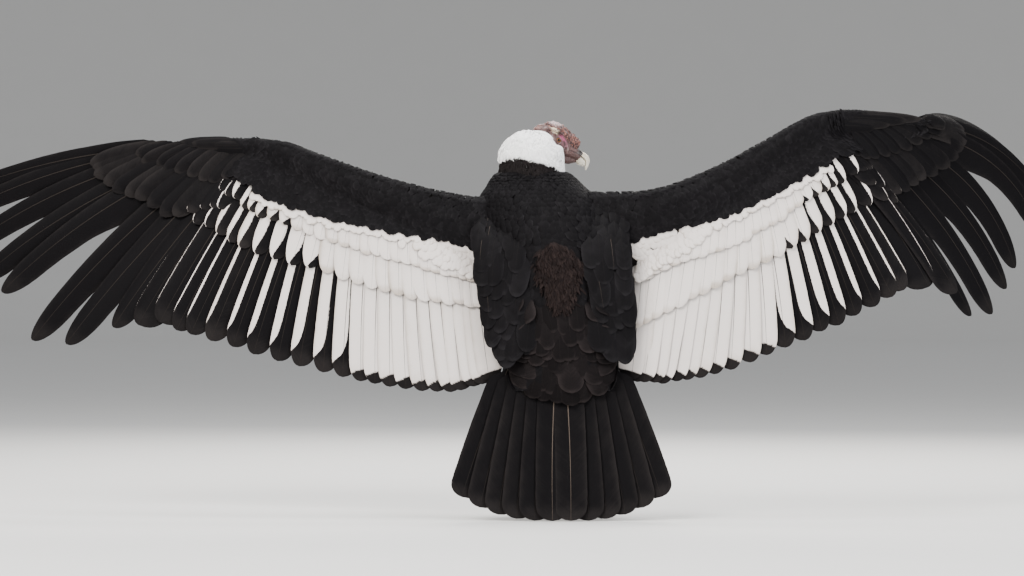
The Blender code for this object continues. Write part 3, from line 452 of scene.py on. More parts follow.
# Finishes
class Finish:
    """A material under construction: small calls that add and link its nodes."""

    def __init__(self, name):
        self.material = bpy.data.materials.new(name)
        self.material.use_nodes = True
        self.tree = self.material.node_tree
        self.shader = self.tree.nodes["Principled BSDF"]

    def add(self, kind, inputs=None, **settings):
        node = self.tree.nodes.new(kind)
        for key, value in settings.items():
            setattr(node, key, value)
        for key, value in (inputs or {}).items():
            self.put(node, key, value)
        return node

    def put(self, node, key, value):
        if isinstance(value, bpy.types.NodeSocket):
            self.tree.links.new(value, node.inputs[key])
        else:
            node.inputs[key].default_value = value

    def set(self, **values):
        for key, value in values.items():
            self.put(self.shader, key.replace("_", " ").title().replace("Ior", "IOR"), value)

    def attribute(self, name, output="Fac"):
        return self.add("ShaderNodeAttribute", attribute_name=name).outputs[output]

    def math(self, operation, a, b=0.0):
        return self.add("ShaderNodeMath", {0: a, 1: b}, operation=operation).outputs[0]

    def times(self, a, b):
        return self.math("MULTIPLY", a, b)

    def total(self, first, *more):
        for term in more:
            first = self.math("ADD", first, term)
        return first

    def ramp(self, value, low, high):
        """0 below low and 1 above high."""
        inputs = {"Value": value, "From Min": low, "From Max": high}
        return self.add("ShaderNodeMapRange", inputs, interpolation_type="SMOOTHSTEP").outputs["Result"]

    def mix(self, share, a, b):
        return self.add("ShaderNodeMix", {0: share, 6: a, 7: b}, data_type="RGBA").outputs[2]

    def place(self, stretch=(1, 1, 1)):
        where = self.add("ShaderNodeTexCoord").outputs["Object"]
        return self.add("ShaderNodeMapping", {"Vector": where, "Scale": stretch}).outputs["Vector"]

    def noise(self, where, scale, detail=3.0, roughness=0.5):
        inputs = {"Vector": where, "Scale": scale, "Detail": detail, "Roughness": roughness}
        return self.add("ShaderNodeTexNoise", inputs).outputs["Fac"]

    def cells(self, where, scale, feature="F1"):
        inputs = {"Vector": where, "Scale": scale}
        return self.add("ShaderNodeTexVoronoi", inputs, feature=feature).outputs["Distance"]

    def bump(self, height, strength, distance, before=None):
        inputs = {"Height": height, "Strength": strength, "Distance": distance}
        if before is not None:
            inputs["Normal"] = before
        return self.add("ShaderNodeBump", inputs).outputs["Normal"]


BLACK = (0.0036, 0.0031, 0.0036, 1)
BLACK_WORN = (0.0165, 0.0140, 0.0135, 1)
WHITE = (0.74, 0.675, 0.635, 1)
WHITE_WORN = (0.46, 0.395, 0.335, 1)
SHAFT_PALE = (0.11, 0.085, 0.068, 1)
SHAFT_DARK = (0.010, 0.0085, 0.008, 1)
BARB_SPACING = 0.0012


def plumage(name, dark=BLACK, worn=BLACK_WORN, roughness=0.58, gloss=0.045, rims=0.45, uneven=0.5):
    """Vaned feathers: barbs as fine grooves, worn rims, shafts, and white where the feather's mark says."""
    f = Finish(name)
    where = f.place()
    tone, rim, barb = f.attribute("tone"), f.attribute("rim"), f.attribute("barb")
    cloud = f.noise(where, 34.0, 4.0, 0.6)
    drift = f.times(f.noise(where, 90.0, 2.0), 5.0)
    streak = f.math("SINE", f.total(f.times(barb, 2 * math.pi / BARB_SPACING), drift))
    wide_streak = f.noise(f.add("ShaderNodeCombineXYZ", {"X": barb, "Y": tone}).outputs[0], 260.0, 2.0)
    uneven_streak = f.math("SUBTRACT", wide_streak, 0.5)
    wear = f.total(f.times(rim, rims), f.times(cloud, 0.45), f.times(uneven_streak, 0.4),
                   f.times(f.math("SUBTRACT", tone, 0.5), uneven))
    black = f.mix(f.ramp(wear, 0.10, 1.05), dark, worn)
    stain = f.times(f.total(f.times(rim, 0.5), f.times(cloud, 0.5)), f.total(0.5, tone))
    white = f.mix(f.ramp(stain, 0.25, 1.2), WHITE, WHITE_WORN)
    edge = f.total(f.attribute("white"), f.times(uneven_streak, 0.22))
    colour = f.mix(f.ramp(edge, -0.03, 0.05), black, white)
    shaft_colour = f.mix(f.attribute("pale"), SHAFT_DARK, SHAFT_PALE)
    f.set(base_color=f.mix(f.ramp(f.attribute("shaft"), 0.35, 0.65), colour, shaft_colour),
          roughness=roughness, specular_ior_level=gloss,
          normal=f.bump(wide_streak, 0.22, 0.0010, f.bump(streak, 0.12, 0.0003)))
    return f.material


def down(name, dark, light):
    """Loose down and hair-like feathers, lighter towards their tips."""
    f = Finish(name)
    cloud = f.noise(f.place(), 60.0, 3.0)
    lift = f.total(f.times(f.attribute("along"), 0.5), f.times(f.attribute("tone"), 0.2), f.times(cloud, 0.4))
    f.set(base_color=f.mix(f.ramp(lift, 0.05, 0.85), dark, light), roughness=0.95, specular_ior_level=0.05)
    return f.material


def head_skin():
    """The painted colours with pale flakes and dark mottles over them."""
    f = Finish("head_skin")
    where = f.place()
    flakes = f.ramp(f.noise(where, 900.0, 4.0, 0.7), 0.56, 0.66)
    flecked = f.mix(f.times(flakes, 0.30), f.attribute("painted", "Color"), (0.62, 0.50, 0.44, 1))
    mottle = f.ramp(f.noise(where, 260.0, 3.0), 0.40, 0.70)
    pores = f.bump(f.cells(where, 1500.0), 0.35, 0.0006)
    f.set(base_color=f.mix(f.times(mottle, 0.45), flecked, (0.10, 0.035, 0.03, 1)), roughness=0.52,
          subsurface_weight=0.12, subsurface_radius=(0.004, 0.0015, 0.001),
          normal=f.bump(f.noise(where, 420.0, 5.0, 0.65), 0.6, 0.0012, pores))
    return f.material


def body_skin():
    """The skin under the coat, as dark as the feathers over it."""
    f = Finish("body_skin")
    colour = f.mix(f.noise(f.place(), 60.0), (0.0035, 0.0030, 0.0032, 1), (0.0090, 0.0075, 0.0070, 1))
    f.set(base_color=colour, roughness=0.8, specular_ior_level=0.05,
          normal=f.bump(f.noise(f.place((1, 1, 0.3)), 300.0), 0.5, 0.002))
    return f.material


def comb_skin():
    """Painted shade in the hollows between red lumps, and pale flakes that crowd together along the crest."""
    f = Finish("comb_skin")
    where = f.place()
    lumps = f.noise(where, 235.0, 4.0, 0.65)
    # Painted shade: the colour goes dark where the lumps' bump is low, in the hollows between them
    red = f.mix(f.ramp(lumps, 0.45, 0.60), (0.026, 0.009, 0.009, 1), (0.260, 0.098, 0.072, 1))
    patches = f.total(f.noise(where, 300.0, 5.0, 0.75), f.times(f.attribute("crest"), 0.20))
    grain = f.bump(f.cells(where, 700.0), 0.7, 0.0016)
    colour = f.mix(f.times(f.ramp(patches, 0.57, 0.68), 0.62), red, (0.70, 0.56, 0.56, 1))
    f.set(base_color=colour, roughness=0.6, subsurface_weight=0.08, subsurface_radius=(0.004, 0.0012, 0.001),
          normal=f.bump(lumps, 0.7, 0.0022, grain))
    return f.material


def horn(name, base, tip, roughness=0.32):
    """Bill and claws: faint lines of growth, and a change of colour towards the tip."""
    f = Finish(name)
    line = f.ramp(f.noise(f.place((1, 1, 3.5)), 240.0, 3.0), 0.45, 0.75)
    dirt = tuple(0.55 * c for c in base[:3]) + (1,)
    f.set(base_color=f.mix(f.times(line, 0.30), f.mix(f.attribute("along"), base, tip), dirt),
          roughness=roughness, coat_weight=0.15, coat_roughness=0.2,
          normal=f.bump(f.noise(f.place(), 500.0, 3.0), 0.15, 0.0005))
    return f.material


def eye_finish():
    """Pupil, brown iris with paler spokes, and a dark rim, by the distance from the eye's own axis."""
    f = Finish("eye")
    ring = f.attribute("ring")
    spokes = f.noise(f.place(), 1400.0, 3.0)
    iris = f.mix(spokes, (0.060, 0.020, 0.006, 1), (0.25, 0.095, 0.024, 1))
    colour = f.mix(f.ramp(ring, 0.20, 0.24), (0.002, 0.002, 0.002, 1), iris)
    colour = f.mix(f.ramp(ring, 0.42, 0.50), colour, (0.008, 0.004, 0.004, 1))
    f.set(base_color=colour, roughness=0.12, specular_ior_level=0.20, coat_weight=0.15, coat_roughness=0.03)
    return f.material


def foot_skin():
    """Small scales between darker seams, with dust on them."""
    f = Finish("foot_skin")
    where = f.place()
    scale = f.cells(where, 320.0, "DISTANCE_TO_EDGE")
    colour = f.mix(f.ramp(scale, 0.02, 0.22), (0.055, 0.050, 0.048, 1), (0.26, 0.245, 0.235, 1))
    dust = f.ramp(f.noise(where, 70.0, 4.0), 0.45, 0.75)
    f.set(base_color=f.mix(f.times(dust, 0.5), colour, (0.38, 0.35, 0.32, 1)), roughness=0.62,
          normal=f.bump(f.ramp(scale, 0.0, 0.16), 0.8, 0.0012))
    return f.material


def plain(name, colour, roughness):
    f = Finish(name)
    shade = tuple(0.97 * c for c in colour[:3]) + (1,)
    f.set(base_color=f.mix(f.noise(f.place(), 3.0), colour, shade), roughness=roughness)
    return f.material


# Feathers
class Form:
    """One kind of feather: how many rows and columns of points, and its half width along it."""

    def __init__(self, rows, columns, full, round_from, tip_power, frayed, thickness, finger=1.0, taper=0.0,
                 shaft=0.0):
        spread = np.linspace(0, 1, rows)
        self.u = 1 - (1 - spread) ** 1.45
        self.s = np.linspace(-1, 1, columns)
        self.rows, self.columns = rows, columns
        self.frayed, self.shaft, self.thickness = frayed, shaft, thickness
        widen = 0.10 + 0.90 * ramp(self.u, 0.0, full)
        tip = np.clip((self.u - round_from) / (1 - round_from), 0, 1)
        rounding = np.sqrt(np.clip(1 - tip**tip_power, 0.0004, 1))
        self.half = widen * rounding * (1 - taper * ramp(self.u, 0.40, 1.0))
        # A finger-tipped primary is narrower beyond a notch in its inner web
        self.inner = 1 - (1 - finger) * ramp(self.u, 0.40, 0.60)
        self.outer = 1 - 0.45 * (1 - finger) * ramp(self.u, 0.24, 0.42)


def grid_quads(rows, columns, flip):
    i, j = np.meshgrid(np.arange(rows - 1), np.arange(columns - 1), indexing="ij")
    a = i * columns + j
    faces = np.stack([a, a + 1, a + columns + 1, a + columns], axis=-1).reshape(-1, 4)
    return faces[:, ::-1] if flip else faces


class Coat:
    """Many feathers as one mesh, with a patch or a strip of the OFBake map for each."""

    def __init__(self, name, finish, seed):
        self.name, self.finish = name, finish
        self.draw = np.random.default_rng(seed)
        self.points, self.quads, self.uv = [], [], []
        self.attributes = {key: [] for key in ("along", "tone", "rim", "barb", "white", "shaft", "pale")}
        self.total = 0

    def keep(self, points, quads, uv, **attributes):
        """points is feathers by points by 3, and each attribute feathers by points."""
        count, size = points.shape[:2]
        offsets = self.total + size * np.arange(count)
        self.points.append(points.reshape(-1, 3))
        self.quads.append((quads[None] + offsets[:, None, None]).reshape(-1, 4))
        self.uv.append(uv.reshape(-1, 2))
        for key in self.attributes:
            values = attributes.get(key, 0.0)
            self.attributes[key].append(np.broadcast_to(values, (count, size)).reshape(-1))
        self.total += count * size

    def build(self):
        attributes = {key: np.concatenate(values) for key, values in self.attributes.items()}
        obj = quads_mesh(self.name, np.concatenate(self.points), np.concatenate(self.quads), self.finish,
                         attributes, np.concatenate(self.uv))
        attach(obj, "root")
        return obj

    def lay(self, form, root, middle, tip, facing, outward, breadth, uv, facing_tip=None, share=0.5,
            camber=0.10, roll=3.0, white=None, tone=None, pale=0.0, strip=None):
        """Lays feathers along curves through root, middle and tip, each an array of one row a feather.

        facing and facing_tip are the directions that the upper side faces at the root and at the tip, and
        outward the way to the outer web. uv is each root's place on the unwrap, or with strip = (width,
        height) the corner of its own strip. white takes across, along and the feather's number, and gives
        how far inside the white mark a point is.
        """
        count = len(root)
        facing_tip = facing if facing_tip is None else facing_tip
        u = form.u[None, :, None]
        start, end = root[:, None], tip[:, None]
        bend = (2 * middle - 0.5 * (root + tip))[:, None]
        centre = (1 - u) ** 2 * start + 2 * u * (1 - u) * bend + u**2 * end
        way = unit(2 * (1 - u) * (bend - start) + 2 * u * (end - bend))
        up = unit(facing[:, None] * (1 - u) + facing_tip[:, None] * u)
        across = np.cross(way, up)
        sign = np.sign(np.sum(across.mean(axis=1) * outward, axis=-1, keepdims=True))
        across = unit(across * sign[:, None])
        up = unit(up - way * np.sum(up * way, axis=-1, keepdims=True))
        angle = np.radians(self.draw.normal(0, roll, count))[:, None, None]
        across, up = (across * np.cos(angle) + up * np.sin(angle),
                      up * np.cos(angle) - across * np.sin(angle))
        length = np.linalg.norm(tip - root, axis=-1)
        breadth = np.broadcast_to(breadth, (count,))
        share = np.broadcast_to(share, (count,))[:, None, None]
        tone = self.draw.uniform(0, 1, count) if tone is None else np.broadcast_to(tone, (count,))
        loss = self.fray(form, count)

        def sheet(columns):
            """Places across and heights of the columns, for all rows."""
            s = columns[None, None, :]
            ragged = 1 - np.where(s > 0, loss[:, :, :1], loss[:, :, 1:]) * s**2
            outer, inner, half = (web[None, :, None] for web in (form.outer, form.inner, form.half))
            side = np.where(s > 0, share * outer, (1 - share) * inner)
            wide = s * side * half * breadth[:, None, None] * ragged
            return wide, -camber * breadth[:, None, None] * half * s**2

        wide, drop = sheet(form.s)
        top = centre[:, :, None] + across[:, :, None] * wide[..., None] + up[:, :, None] * drop[..., None]
        picks = [0, (form.columns - 1) // 2, form.columns - 1]
        under = top[:, :, picks] - up[:, :, None] * np.array((0.15, 1.0, 0.15))[:, None] * form.thickness
        for grid, columns, upper in ((top, form.s, True), (under, form.s[picks], False)):
            s = np.broadcast_to(columns, (count, form.rows, len(columns)))
            uu = np.broadcast_to(form.u[None, :, None], s.shape)
            barb = uu * length[:, None, None] + 0.45 * np.abs(s) * breadth[:, None, None]
            rim = np.maximum(np.abs(s) ** 4 * ramp(uu, 0.1, 0.4), ramp(uu, 0.86, 0.97))
            mark = -1.0
            if white is not None and upper:
                mark = white(s, uu, np.arange(count)[:, None, None]).reshape(count, -1)
            self.keep(grid.reshape(count, -1, 3), grid_quads(form.rows, len(columns), flip=not upper),
                      self.patch(uv, strip, s, uu, upper).reshape(count, -1, 2),
                      along=uu.reshape(count, -1), tone=tone[:, None], rim=rim.reshape(count, -1),
                      barb=barb.reshape(count, -1), white=mark)
        if form.shaft:
            self.shafts(form, centre, across, up, uv, strip, pale)

    def fray(self, form, count):
        """How much of each web is missing at each row, for a slightly ragged rim."""
        ragged = self.draw.uniform(0, form.frayed, (count, form.rows, 2))
        ragged[:, 0] = 0
        return ragged

    def patch(self, uv, strip, s, uu, upper):
        """The upper side takes the left half of a strip, and the under side the right."""
        if strip is None:
            size = 0.003
            return uv[:, None, None] + np.stack([s * size / 2, (uu - 0.5) * size], axis=-1)
        half = strip[0] / 2
        x = (s * 0.46 + 0.5) * half + (0 if upper else half)
        return uv[:, None, None] + np.stack([x, uu * strip[1]], axis=-1)

    def shafts(self, form, centre, across, up, uv, strip, pale):
        """The shaft stands proud of both sides as a tapered rib."""
        count = len(centre)
        taper = (1 - 0.86 * form.u)[None, :, None, None] * form.shaft
        for upper in (True, False):
            height = 1.0 if upper else -1.0
            steps = np.array((-0.5, 0.0, 0.5))
            rise = np.array((-0.1, 0.42, -0.1)) * height
            rib = (centre[:, :, None] + across[:, :, None] * steps[:, None] * taper
                   + up[:, :, None] * (rise[:, None] * taper - (0 if upper else form.thickness)))
            s = np.broadcast_to(steps * 0.06, (count, form.rows, 3))
            uu = np.broadcast_to(form.u[None, :, None], s.shape)
            tint = np.broadcast_to(np.asarray(pale, float), (count,))[:, None] if upper else 0.6
            self.keep(rib.reshape(count, -1, 3), grid_quads(form.rows, 3, flip=not upper),
                      self.patch(uv, strip, s, uu, upper).reshape(count, -1, 2),
                      along=uu.reshape(count, -1), white=-1.0, shaft=1.0, pale=tint)


def strips(count, columns, rows=1, start=0):
    """Corners and size of own strips of the map for many feathers."""
    numbers = np.arange(start, start + count)
    width, height = 1.0 / columns, 1.0 / rows
    corners = np.stack([(numbers % columns) * width, (numbers // columns) * height], axis=-1)
    return corners + 0.02 * np.array((width, height)), (0.96 * width, 0.96 * height)


FLIGHT = Form(36, 9, full=0.16, round_from=0.86, tip_power=2.6, frayed=0.016, shaft=0.0034,
              thickness=0.0008)
FINGER = Form(44, 9, full=0.14, round_from=0.83, tip_power=2.2, finger=0.80, taper=0.24, frayed=0.014,
              shaft=0.0042, thickness=0.0010)
RECTRIX = Form(36, 9, full=0.12, round_from=0.88, tip_power=2.6, frayed=0.02, shaft=0.0034,
               thickness=0.0008)
COVERT = Form(14, 7, full=0.26, round_from=0.56, tip_power=2.4, frayed=0.03, shaft=0.0014,
              thickness=0.0005)
SCAPULAR = Form(14, 9, full=0.26, round_from=0.52, tip_power=2.3, frayed=0.03, shaft=0.0011,
                thickness=0.0005)
CONTOUR = Form(9, 7, full=0.34, round_from=0.36, tip_power=2.4, frayed=0.05, thickness=0.0004)
SMALL = Form(7, 5, full=0.40, round_from=0.36, tip_power=2.3, frayed=0.08, thickness=0.0003)
TUFT = Form(6, 3, full=0.30, round_from=0.30, tip_power=1.8, frayed=0.12, thickness=0.0003)


# Wings
class Wing:
    """The lie of one wing's feathers, numbered from the body out."""

    def __init__(self, side):
        self.side, self.number = side, int(side == "right")
        plan = WINGS[side]
        inner, outer = np.linspace(0, 1, SECONDARIES), np.linspace(0, 1, PRIMARIES)
        self.roots = np.concatenate([along(curve(plan["secondary_roots"]), inner),
                                     along(curve(plan["primary_roots"]), outer)])
        self.tips = np.concatenate([along(curve(plan["secondary_tips"]), inner), plan["primary_tips"]])
        middle = self.roots + (self.tips - self.roots) * 0.6
        self.outward = unit(np.gradient(middle, axis=0))
        normal = unit(np.cross(self.tips - self.roots, self.outward))
        self.normal = normal * np.sign(normal @ DORSAL)[:, None]
        self.lead = curve(plan["lead"])
        self.quills = curve(plan["roots"])
        away = np.linalg.norm(self.roots[:, None] - self.quills[None], axis=-1)
        self.root_t = np.argmin(away, axis=1) / (len(self.quills) - 1)
        self.lengths = np.linalg.norm(self.tips - self.roots, axis=1)
        self.numbers = np.arange(REMIGES)

    def lie(self, place):
        """Normal, outward way and facing of shingled feathers; place counts the flight feathers."""
        normal, outward = read(self.normal, place), read(self.outward, place)
        return normal, outward, unit(normal * math.cos(SHINGLE) - outward * math.sin(SHINGLE))

    def chord(self, t):
        return np.linalg.norm(along(self.lead, t) - along(self.quills, t), axis=1)

    def over(self, place, reach, lift):
        """Points over the flight feathers: reach runs from their roots to their tips."""
        root, tip = read(self.roots, place), read(self.tips, place)
        reach = np.broadcast_to(reach, place.shape)[:, None]
        rise = REMEX_BOW * 4 * np.clip(reach * (1 - reach), 0, 1)
        return root + (tip - root) * reach + read(self.normal, place) * (rise + np.reshape(lift, (-1, 1)))

    def surface(self, t, x, upper, grow=0.0):
        """Points on the feathered flesh: t runs out along the wing, x back from its edge to the quills."""
        front, back = along(self.lead, t), along(self.quills, t)
        normal = unit(np.cross(back - front, heading(self.lead, t)))
        normal = normal * np.sign(normal @ DORSAL)[..., None]
        thick = np.interp(t, (0, WRIST, 1), WING_THICKNESS)
        height = thick * np.interp(x, WING_SECTION[:, 0], WING_SECTION[:, 1 if upper else 2])
        height = height + (grow if upper else -grow)
        return front + (back - front) * x[..., None] + normal * height[..., None]

    def around(self, t, q, lift):
        """Points on the flesh on both sides of the leading edge: q is under 0 beneath it and over 0 above."""
        above = self.surface(t, np.maximum(q, 0), True, lift)
        below = self.surface(t, np.maximum(-q, 0), False, lift)
        return np.where((q < 0)[:, None], below, above)

    def around_normal(self, t, q):
        above = self.surface_normal(t, np.maximum(q, 0.03), True)
        below = self.surface_normal(t, np.maximum(-q, 0.03), False)
        share = ramp(q, -0.06, 0.06)[:, None]
        return unit(below * (1 - share) + above * share)

    def coat_at(self, place, reach, lift):
        """Points over the coverts: on the flesh where reach is under 0, then over the flight feathers."""
        t = np.interp(place, self.numbers, self.root_t)
        x = 1 + reach * np.interp(place, self.numbers, self.lengths) / self.chord(t)
        flesh = self.surface(t, np.clip(x, 0.05, None), True) + read(self.normal, place) * lift[:, None]
        rise = np.interp(reach, (0.0, 0.1, 0.25), (0.0140, 0.0175, 0.0205))
        share = ramp(reach, -0.10, 0.06)[:, None]
        return flesh * (1 - share) + self.over(place, reach, rise + lift) * share

    def surface_normal(self, t, x, upper):
        step = 0.02
        out = (self.surface(np.minimum(t + step, 1), x, upper)
               - self.surface(np.maximum(t - step, 0), x, upper))
        back = self.surface(t, x + step, upper) - self.surface(t, np.maximum(x - step, 0), upper)
        normal = unit(np.cross(back, out))
        facing = DORSAL if upper else -DORSAL
        return normal * np.where(normal @ facing < 0, -1, 1)[..., None]

    def skin(self):
        """Rings of the bare arm and hand, inside their coat."""
        half = 12
        back = np.linspace(0.02, 1.2, half)
        x = np.concatenate([back, back[::-1]])
        rings = []
        for t in np.linspace(0, 1, 40):
            place = np.full(2 * half, t)
            above, below = (self.surface(place, x, upper, -COAT * 0.5) for upper in (True, False))
            rings.append(np.concatenate([above[:half], below[half:]]))
        return loft(rings)


def stripe_mark(wing_count, whole):
    """White outer webs of the secondaries: all of each inner feather, down to a hairline on the outermost."""
    wide = 0.036 * np.clip(1 - (np.arange(wing_count) - whole) / (21.0 - whole), 0, 1) ** 1.6
    threshold = 1 - wide / (SECONDARY_BREADTH * 0.42)
    threshold[:whole] = -1.2

    def mark(s, u, k):
        solid = threshold[k] < -1
        run = np.clip((u - 0.05) / 0.86, 0, 1)
        blunt = (0.70 + 0.30 * run) * np.sqrt(np.clip(1 - run**12, 0.0001, 1))
        inside = s - (1 - (1 - threshold[k]) * np.where(solid, 1.0, blunt))
        end = (np.where(solid, 0.955, 0.925) - 0.02 * (1 - s) - u) * 8
        return np.minimum(np.minimum(2.5 * inside, end), np.where(k >= wing_count, -1.0, 1.0))

    return mark


# How many feathers from the body have an even vane; those beyond them are notched
ROUNDED = SECONDARIES + 2


def flight_feathers(wing, finish):
    coat = Coat(f"flight_{wing.side}", finish, 11 + wing.number)
    facing = wing.lie(wing.numbers)[2]
    bend = np.concatenate([np.full(SECONDARIES, SECONDARY_BEND), PRIMARY_BENDS[wing.side]])
    sweep = wing.outward * bend[:, None] * wing.lengths[:, None]
    middle = (wing.roots + wing.tips) / 2 + wing.normal * REMEX_BOW + sweep
    corners, size = strips(REMIGES, REMIGES)
    wobble = coat.draw.normal(0, 0.0020, (REMIGES, 3))
    tips = wing.tips + wobble * (wing.numbers < ROUNDED)[:, None]
    breadth = np.concatenate([np.full(SECONDARIES, SECONDARY_BREADTH), PRIMARY_BREADTH])
    share = np.where(wing.numbers < SECONDARIES, 0.42, 0.36)
    stripes = stripe_mark(ROUNDED, WHITE_SECONDARIES[wing.side])
    for part, form, mark, tones in ((slice(0, ROUNDED), FLIGHT, stripes, (0.1, 0.6)),
                                    (slice(ROUNDED, REMIGES), FINGER, None, (0.0, 0.2))):
        coat.lay(form, wing.roots[part], middle[part], tips[part], facing[part], wing.outward[part],
                 breadth[part], corners[part], share=share[part], camber=0.05, roll=0.8, white=mark,
                 strip=size, pale=0.12, tone=coat.draw.uniform(*tones, len(tips[part])))
    coat.build()


def covert_mark(start, leaf_from, solid_to, gone):
    """White on coverts: whole on the inner ones, then a leaf along the outer web that thins to a crescent."""

    def mark(s, u, k):
        place = start[k]
        share = np.clip((place - solid_to) / (gone - solid_to), 0, 1)
        threshold = np.where(share <= 0, -1.3, -0.90 + 1.75 * share**0.62)
        run = np.clip((u - leaf_from) / (1 - leaf_from), 0.0, 1.0)
        leaf = np.where(share <= 0, 1.0, np.sin(np.pi * np.clip(run**1.2, 0.0, 0.97)) ** 0.5)
        inside = s - (1 - (1 - threshold) * leaf)
        return np.where(place > gone, -1.0, inside)

    return mark


# Place along the wing where the white tips of the short primary coverts end
WHITE_THUMB = {"left": 20.0, "right": 22.0}
# Columns and rows of the coverts' map
COVERT_STRIPS = (16, 5)


def wing_coverts(wing, finish):
    """Greater and median coverts of the secondaries, primary coverts and the thumb's feathers."""
    coat = Coat(f"coverts_{wing.side}", finish, 21 + wing.number)
    greater, median = np.arange(22) * 21.4 / 21 + 0.3, np.arange(27) * 21.6 / 26
    long, short = (SECONDARIES + 0.6 + np.arange(count) * 8.6 / (count - 1) for count in (14, 12))
    arm = {"share": 0.46, "camber": 0.12, "roll": 2.0}
    hand = {"share": 0.42, "camber": 0.10, "roll": 2.5}
    rows = (
        # places, first reach, last reach, lifts, breadths, the mark's numbers, bow, sweep, uneven, settings
        (greater, 0.0, look_up(GREATER_ENDS[wing.side], greater), (0.005, 0.0105),
         (0.060, 0.060), (0.30, 13.0, 22.4), 0.003, 0.0, 0.005, arm),
        (median, -0.02, look_up(MEDIAN_ENDS, median), (0.006, 0.0150),
         (0.052, 0.052), (0.35, 15.0, 22.8), 0.003, 0.0, 0.005, arm),
        (long, 0.0, np.linspace(0.33, 0.37, len(long)), (0.007, 0.0125),
         (0.062, 0.056), (0.35, 15.0, 22.8), 0.005, 0.006, 0.006, hand),
        (short, -0.02, np.linspace(0.15, 0.17, len(short)), (0.010, 0.0165),
         (0.040, 0.036), (0.35, 15.0, WHITE_THUMB[wing.side]), 0.005, 0.006, 0.006, hand),
    )
    used = 0
    for places, first, last, lifts, breadths, mark, bow, sweep, uneven, settings in rows:
        count = len(places)
        corners, size = strips(count, *COVERT_STRIPS, used)
        used += count
        root = wing.over(places, first, lifts[0])
        tip = wing.over(places, last + coat.draw.normal(0, uneven, count), lifts[1])
        normal, outward, facing = wing.lie(places)
        coat.lay(COVERT, root, (root + tip) / 2 + normal * bow + outward * sweep, tip, facing, outward,
                 np.linspace(*breadths, count), corners, white=covert_mark(places, *mark), strip=size,
                 **settings)
    # The thumb's feathers: place along the wing and back from its edge, at the root and the tip
    thumb = np.array(((0.72, 0.16, 0.93, 0.10), (0.71, 0.32, 0.89, 0.38), (0.70, 0.48, 0.86, 0.62),
                      (0.69, 0.62, 0.83, 0.82)))
    corners, size = strips(len(thumb), *COVERT_STRIPS, used)
    t, x, tip_t, tip_x = thumb.T
    root, tip = wing.surface(t, x, True), wing.surface(tip_t, tip_x, True, 0.005)
    normal = wing.surface_normal(t, np.array((0.3, 0.4, 0.5, 0.6)), True)
    coat.lay(COVERT, root, (root + tip) / 2 + normal * 0.003, tip, normal, (0, 0, 1.0), 0.028, corners,
             share=0.4, camber=0.14, strip=size)
    coat.build()


def scattered_rows(counts, draw, jitter=0.25):
    """(row, place) of staggered points: a row for each count, and places in it from 0 to 1."""
    row_of, places = [], []
    for row, count in enumerate(counts):
        place = (np.arange(count) + 0.5 * (row % 2) + 0.25 + draw.uniform(-jitter, jitter, count)) / count
        row_of.append(np.full(count, row))
        places.append(np.clip(place, 0.002, 0.998))
    return np.concatenate(row_of), np.concatenate(places)


def small_coverts(wing, finish):
    """Lesser and marginal coverts over the upper side, and the lining of the under side."""
    coat = Coat(f"lesser_{wing.side}", finish, 31 + wing.number)
    kinds = (
        # upper, rows, feathers a row, first and last place back, sweep, lifts of middle and tip, size, map
        (True, 24, 76, -0.16, 1.0, 0.002, (0.0010, 0.0004), 1.08, 0.58),
        (False, 11, 44, 0.06, 1.35, 0.003, (0.0016, 0.0010), 1.9, 0.02),
    )
    for upper, row_count, along_count, first_x, last_x, sweep, lifts, bigger, map_from in kinds:
        row, t = scattered_rows([along_count] * row_count, coat.draw)
        x = first_x + row / (row_count - 1) * (last_x - first_x) + coat.draw.uniform(-0.012, 0.012, len(row))
        t = 0.03 + 0.965 * t
        chord = wing.chord(t)
        if upper:
            # None where the broader coverts lie bare of them
            place = np.interp(t, wing.root_t, wing.numbers)
            limit = np.minimum(look_up(BLACK_ENDS[wing.side], place), 0.05)
            kept = x < 1 + (limit * np.interp(place, wing.numbers, wing.lengths) - 0.030) / chord
            kept = kept | (place > 12)
            t, x, chord = t[kept], x[kept], chord[kept]
        size = np.interp(x, (-0.16, 0.05, 0.5, 1.0), (0.0155, 0.0165, 0.021, 0.028))
        size = size * coat.draw.uniform(0.90, 1.10, len(t)) * bigger
        reach = size / np.maximum(chord, 0.035)
        drift = coat.draw.normal(0, 0.0015, len(t)) * upper

        def at(t, x, lift):
            return wing.around(t, x, lift) if upper else wing.surface(t, x, False, lift)

        def facing(t, x):
            return wing.around_normal(t, x) if upper else wing.surface_normal(t, x, False)

        middle = at(t + sweep + drift / 2, x + reach * 0.5, lifts[0])
        tip = at(np.minimum(t + 2 * sweep + drift, 1), x + reach, lifts[1])
        out = read(wing.outward, np.interp(t, (0, WRIST, 1), (0, SECONDARIES, REMIGES - 1)))
        uv = stacked(0.02 + 0.96 * t, map_from + 0.34 * x / last_x)
        coat.lay(SMALL, at(t, x, -0.002), middle, tip, facing(t, x), out, size * 0.86, uv,
                 facing_tip=facing(t, x + reach * 0.8), camber=0.07, roll=2.0)
    coat.build()


